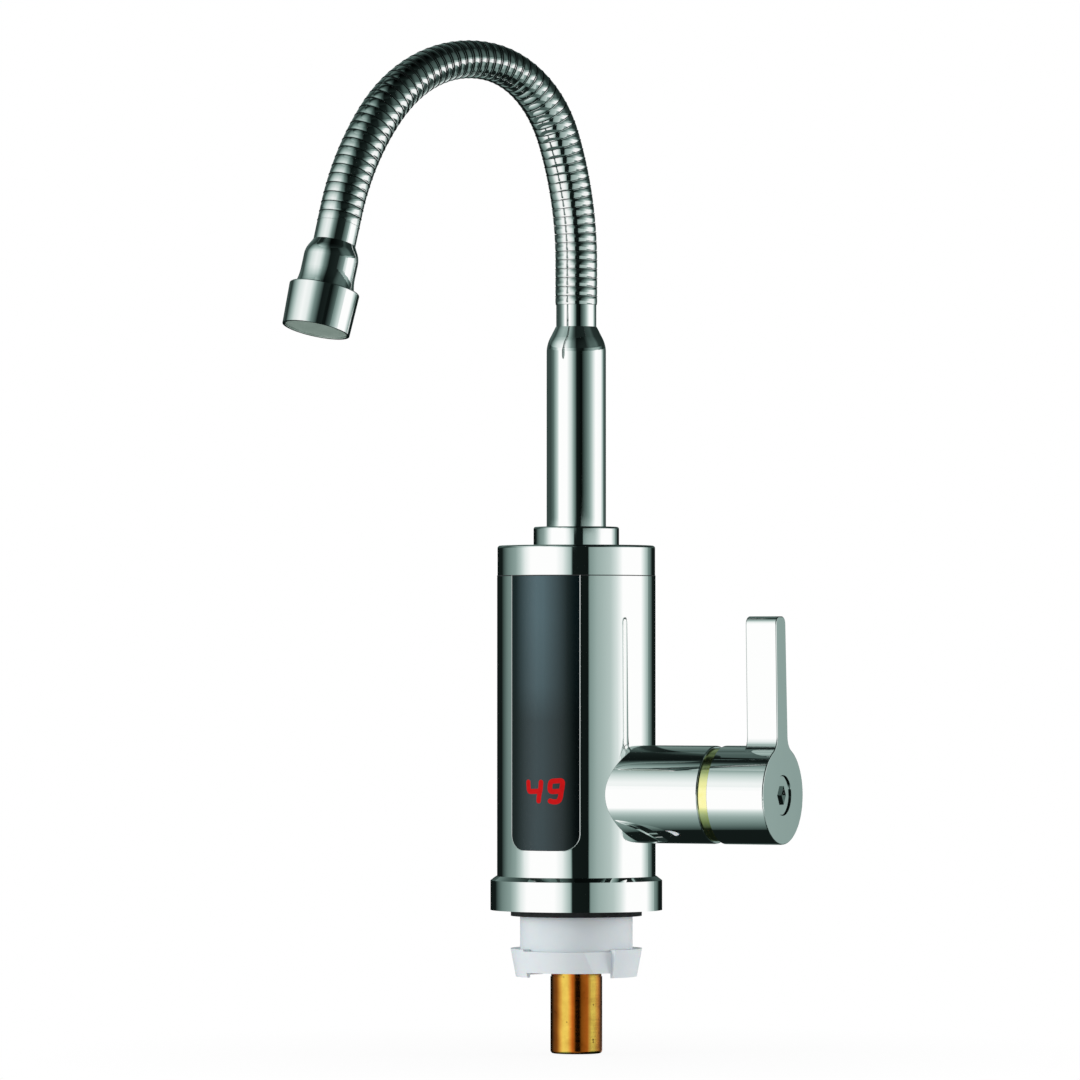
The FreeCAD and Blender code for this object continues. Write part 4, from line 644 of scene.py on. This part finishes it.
def readout_stroke(name, corners):
    """A lit stroke that follows the lens's round face."""
    points = []
    sections = stroke_sections(rounded_path(corners))
    for middle, half, ahead in sections:
        aside = Vector((-ahead.y, ahead.x)) * half
        for place, rise in STROKE_SECTION:
            spot = middle + aside * place
            points.append(lens_point(spot.x, spot.y, LENS_RADIUS + rise))
    stroke = add_mesh(name, points, ring_faces(len(sections), len(STROKE_SECTION)), readout_red)
    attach(stroke, "tap_body")


for stroke_name, stroke_corners in READOUT.items():
    readout_stroke(stroke_name, stroke_corners)


def window_outline():
    """The window's edge, down its left side, along the sill and up its right side."""
    flat = WINDOW_HALF - WINDOW_ROUND
    corner_level = WINDOW_SILL + WINDOW_ROUND
    steps = 12
    path = [(-WINDOW_HALF, WINDOW_TOP)]
    for centre, turn in ((-flat, math.pi), (flat, 1.5 * math.pi)):
        for step in range(steps + 1):
            angle = turn + math.pi / 2 * step / steps
            along = centre + WINDOW_ROUND * math.cos(angle)
            path.append((along, corner_level + WINDOW_ROUND * math.sin(angle)))
    path.append((WINDOW_HALF, WINDOW_TOP))
    return path


def window_trim():
    """A fine polished bead along the window's edge."""
    sides = 8
    points = []
    path = window_outline()
    for index, (along, level) in enumerate(path):
        before = Vector(path[max(index - 1, 0)])
        after = Vector(path[min(index + 1, len(path) - 1)])
        ahead = (after - before).normalized()
        for side in range(sides):
            angle = 2 * math.pi * side / sides
            aside = TRIM_RADIUS * math.cos(angle)
            radius = SHELL_RADIUS - TRIM_RADIUS / 2 + TRIM_RADIUS * math.sin(angle)
            turn = math.asin((along + aside * ahead.y) / SHELL_RADIUS)
            height = level - aside * ahead.x
            points.append((math.sin(turn) * radius, -math.cos(turn) * radius, height))
    trim = add_mesh("window_trim", points, ring_faces(len(path), sides), chrome)
    smooth(trim, TRIM_SHARP)
    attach(trim, "tap_body")


window_trim()


def cap_seam():
    """The dark line between the shell and the cap."""
    sides = 160
    section = [
        (SHELL_RADIUS - SEAM_HEIGHT, -SEAM_HEIGHT / 2),
        (SHELL_RADIUS + SEAM_RISE, -SEAM_HEIGHT / 2),
        (SHELL_RADIUS + SEAM_RISE, SEAM_HEIGHT / 2),
        (SHELL_RADIUS - SEAM_HEIGHT, SEAM_HEIGHT / 2),
    ]
    points = []
    for radius, level in section:
        points += circle(radius, WINDOW_TOP + level, sides)
    faces = ring_faces(len(section), sides, closed_ends=False)
    seam = add_mesh("cap_seam", points, faces, black_plastic)
    smooth(seam, TRIM_SHARP)
    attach(seam, "tap_body")


cap_seam()

# Tones of the walls and the ceiling: degrees to the right of the eye, and grey level
LOW_TONES = [
    (-180, 0.010),
    (-139, 0.010),
    (-130, 0.10),
    (-118, 0.22),
    (-100, 0.34),
    (-90, 0.54),
    (-80, 0.84),
    (-70, 1.0),
    (-30, 1.0),
    (-20, 0.85),
    (-10, 0.50),
    (-7.6, 0.42),
    (-6.2, 0.010),
    (17, 0.008),
    (18.5, 0.28),
    (30, 0.42),
    (50, 0.55),
    (60, 0.73),
    (71, 1.0),
    (108, 1.0),
    (120, 0.64),
    (130, 0.28),
    (140, 0.12),
    (145, 0.010),
    (180, 0.010),
]
DEEP_RIGHT = [
    (62, 0.40),
    (70, 0.35),
    (80, 0.32),
    (86, 0.26),
    (92, 0.13),
    (100, 0.06),
    (118, 0.05),
    (140, 0.10),
    (160, 0.90),
    (172, 0.30),
    (180, 0.01),
]
DEEP_TONES = [tone for tone in LOW_TONES if tone[0] < DEEP_RIGHT[0][0]] + DEEP_RIGHT
HIGH_TONES = [
    (-180, 0.06),
    (-150, 0.06),
    (-118, 0.065),
    (-100, 0.15),
    (-90, 0.35),
    (-79, 0.60),
    (-70, 1.0),
    (-37, 1.0),
    (-20, 0.68),
    (-10, 0.31),
    (-4, 0.16),
    (1, 0.010),
    (21, 0.003),
    (27, 0.05),
    (40, 0.16),
    (50, 0.28),
    (60, 0.48),
    (70, 0.75),
    (81, 1.0),
    (110, 0.97),
    (120, 0.58),
    (130, 0.21),
    (140, 0.08),
    (180, 0.06),
]
UPPER_TONES = [
    (-180, 0.10),
    (-150, 0.08),
    (-125, 0.02),
    (-110, 0.14),
    (-90, 0.42),
    (-75, 0.90),
    (-60, 1.0),
    (-40, 0.95),
    (-20, 0.50),
    (-8, 0.16),
    (1, 0.010),
    (27, 0.006),
    (40, 0.08),
    (55, 0.22),
    (70, 0.40),
    (95, 0.40),
    (110, 0.16),
    (125, 0.03),
    (150, 0.03),
    (165, 0.08),
    (180, 0.10),
]
TOP_TONES = [
    (-180, 0.25),
    (-165, 0.22),
    (-150, 0.12),
    (-125, 0.06),
    (-105, 0.40),
    (-85, 0.75),
    (-60, 0.95),
    (-40, 0.85),
    (-20, 0.25),
    (0, 0.010),
    (40, 0.02),
    (60, 0.12),
    (90, 0.14),
    (105, 0.04),
    (150, 0.02),
    (165, 0.08),
    (180, 0.10),
]
CEILING_TONES = [
    (-180, 0.12),
    (-150, 0.20),
    (-135, 0.25),
    (-118, 0.02),
    (-100, 0.04),
    (-80, 0.48),
    (-60, 0.56),
    (-38, 0.38),
    (-20, 0.12),
    (-5, 0.02),
    (90, 0.02),
    (120, 0.06),
    (180, 0.12),
]

# Tones of the two cards under the tap: metres towards the front left, and grey level
FLOOR_TONES = [
    (0.020, 0.010),
    (0.028, 0.06),
    (0.068, 0.17),
    (0.114, 0.28),
    (0.17, 0.39),
    (0.24, 0.60),
    (0.34, 0.95),
    (0.36, 1.0),
]
PIT_TONES = [(-2.4, 0.30), (-0.5, 0.20), (0.5, 0.12), (2.4, 0.10)]

# The walls from the lowest up, with how much of their light is left at the ceiling
WALLS = [
    ("deep_wall", DEEP_TONES, 1.0),
    ("low_wall", LOW_TONES, 1.0),
    ("high_wall", HIGH_TONES, 1.0),
    ("upper_wall", UPPER_TONES, 1.0),
    ("top_wall", TOP_TONES, TOP_FADE),
]


# Studio
def unseen(thing):
    """Shows a thing in reflections alone."""
    thing.visible_camera = False
    thing.visible_diffuse = False
    thing.visible_shadow = False


def glow(name):
    """A material that only glows, and lights nothing by itself."""
    material, tree, output = blank_material(name)
    material.cycles.emission_sampling = "NONE"
    light = new_node(tree, "ShaderNodeEmission")
    tree.links.new(light.outputs["Emission"], output.inputs["Surface"])
    return material, tree, light


def studio_grey(tree, level, light):
    """Lets a light glow in a grey of that level, a little green in the shades."""
    colour = new_node(tree, "ShaderNodeCombineColor")
    for channel, loss in SHADE_LOSS.items():
        share = calculate(tree, "ADD", calculate(tree, "MULTIPLY", level, loss), 1 - loss)
        tree.links.new(calculate(tree, "MULTIPLY", level, share), colour.inputs[channel])
    tree.links.new(colour.outputs["Color"], light.inputs["Color"])


def studio_place(tree):
    """A point's place in the studio, in metres."""
    return new_node(tree, "ShaderNodeNewGeometry").outputs["Position"]


def distance_along(tree, axis):
    """How far a point of the studio lies along an axis."""
    return along_axis(tree, studio_place(tree), axis)


def distance_out(tree):
    """How far a point of the studio lies from the frame's origin."""
    node = new_node(tree, "ShaderNodeVectorMath", operation="LENGTH")
    tree.links.new(studio_place(tree), node.inputs[0])
    return node.outputs["Value"]


def levels_along(tree, place, tones):
    """Grey levels at places along something, and even slopes between them."""
    start = tones[0][0]
    end = tones[-1][0]
    share = spread(tree, place, 0.0, 1.0, start=start, end=end)
    stops = [((spot - start) / (end - start), (level, level, level)) for spot, level in tones]
    return ramp(tree, share, stops)


def levels_round(tree, tones):
    """Grey levels by the angle from the eye, in degrees to the right."""
    aside = distance_along(tree, eye_right)
    toward = distance_along(tree, eye_back)
    angle = calculate(tree, "ARCTAN2", aside, toward)
    return levels_along(tree, calculate(tree, "DEGREES", angle), tones)


def wall(name, bottom, top, tones, fade):
    """A round wall whose tones follow the angle from the eye and fade upwards."""
    material, tree, light = glow(name)
    level = levels_round(tree, tones)
    height = distance_along(tree, UP)
    dimming = spread(tree, height, 1.0, fade, start=FADE_START, end=WALL_LEVELS[-1])
    studio_grey(tree, calculate(tree, "MULTIPLY", level, dimming), light)
    sides = 180
    points = circle(WALL_RADIUS, bottom, sides) + circle(WALL_RADIUS, top, sides)
    unseen(add_mesh(name, points, ring_faces(2, sides, closed_ends=False), material))


def disc(name, level, radius, material):
    sides = 96
    return add_mesh(name, circle(radius, level, sides), [tuple(range(sides))], material)


def ceiling(level):
    """A round ceiling whose tones follow the angle from the eye and grow outwards from black."""
    material, tree, light = glow("ceiling")
    edge = math.hypot(level, WALL_RADIUS)
    growth = spread(tree, distance_out(tree), CEILING_MIDDLE, 1.0, start=level, end=edge)
    tones = levels_round(tree, CEILING_TONES)
    studio_grey(tree, calculate(tree, "MULTIPLY", tones, growth), light)
    unseen(disc("ceiling", level, WALL_RADIUS, material))


def card(name, level, radius, tones):
    """A round card whose tones follow the distance towards the front left."""
    material, tree, light = glow(name)
    along = distance_along(tree, (eye_back - eye_right).normalized())
    studio_grey(tree, levels_along(tree, along, tones), light)
    unseen(disc(name, level, radius, material))


def mix_shaders(tree, factor, first, second, output):
    """Shows the second of two shaders by a factor, and the first elsewhere."""
    mixed = new_node(tree, "ShaderNodeMixShader")
    tree.links.new(factor, mixed.inputs["Fac"])
    tree.links.new(first.outputs[0], mixed.inputs[1])
    tree.links.new(second.outputs[0], mixed.inputs[2])
    tree.links.new(mixed.outputs["Shader"], output.inputs["Surface"])


def make_floor():
    """A pale floor that keeps the tap's shadow and fades to white at its edge."""
    material, tree, output = blank_material("pale_floor")
    matt = new_node(tree, "ShaderNodeBsdfDiffuse")
    matt.inputs["Color"].default_value = (0.9, 0.9, 0.9, 1)
    light = new_node(tree, "ShaderNodeEmission")
    reach = distance_out(tree)
    white = spread(tree, reach, FLOOR_GLOW, 1.0, start=FLOOR_MIDDLE, end=FLOOR_RADIUS)
    shown = calculate(tree, "MULTIPLY", shown_rays(tree), white)
    mix_shaders(tree, shown, matt, light, output)
    floor = disc("floor", FLOOR_LEVEL, FLOOR_RADIUS, material)
    floor.visible_glossy = False


def make_world():
    """White where it shows, and a plain soft light elsewhere."""
    world = bpy.data.worlds.new("studio")
    bpy.context.scene.world = world
    world.use_nodes = True
    tree = world.node_tree
    tree.nodes.clear()
    output = new_node(tree, "ShaderNodeOutputWorld")
    backdrop = new_node(tree, "ShaderNodeBackground")
    backdrop.inputs["Color"].default_value = (1, 1, 1, 1)
    ambient = new_node(tree, "ShaderNodeBackground")
    ambient.inputs["Color"].default_value = (1, 1, 1, 1)
    ambient.inputs["Strength"].default_value = SOFT_LIGHT
    mix_shaders(tree, shown_rays(tree), ambient, backdrop, output)


def make_lamp(name, aside, toward, height, power):
    """A square soft lamp that looks at the tap's middle."""
    light = bpy.data.lights.new(name, "AREA")
    light.size = LAMP_SIDE
    light.energy = power
    lamp = bpy.data.objects.new(name, light)
    bpy.context.scene.collection.objects.link(lamp)
    lamp.location = eye_right * aside + eye_back * toward + UP * height
    lamp.rotation_mode = "QUATERNION"
    lamp.rotation_quaternion = (UP * LAMP_AIM - lamp.location).to_track_quat("-Z", "Y")
    lamp.visible_glossy = False


def make_camera():
    sight = bpy.data.cameras.new("photo_camera")
    sight.sensor_width = SENSOR_WIDTH
    sight.lens = FOCAL_PIXELS / PICTURE_SIDE * SENSOR_WIDTH
    sight.clip_end = SIGHT_END
    eye = bpy.data.objects.new("photo_camera", sight)
    bpy.context.scene.collection.objects.link(eye)
    aside = (AXIS_COLUMN - PICTURE_SIDE / 2) / FOCAL_PIXELS * EYE_DISTANCE
    eye.location = eye_back * EYE_DISTANCE - eye_right * aside + UP * EYE_HEIGHT
    tilt = math.atan((HORIZON_ROW - PICTURE_SIDE / 2) / FOCAL_PIXELS)
    looking = UP * math.sin(tilt) - eye_back * math.cos(tilt)
    eye.rotation_mode = "QUATERNION"
    eye.rotation_quaternion = looking.to_track_quat("-Z", "Y")
    bpy.context.scene.camera = eye


make_camera()
make_world()
make_floor()
for (wall_name, wall_tones, wall_fade), low, high in zip(WALLS, WALL_LEVELS, WALL_LEVELS[1:]):
    wall(wall_name, low, high, wall_tones, wall_fade)
ceiling(WALL_LEVELS[-1])
card("floor_card", CARD_LEVEL, CARD_RADIUS, FLOOR_TONES)
card("pit", WALL_LEVELS[0], WALL_RADIUS, PIT_TONES)
for lamp_name, lamp_settings in LAMPS.items():
    make_lamp(lamp_name, *lamp_settings)
bpy.context.scene.view_settings.view_transform = "Standard"
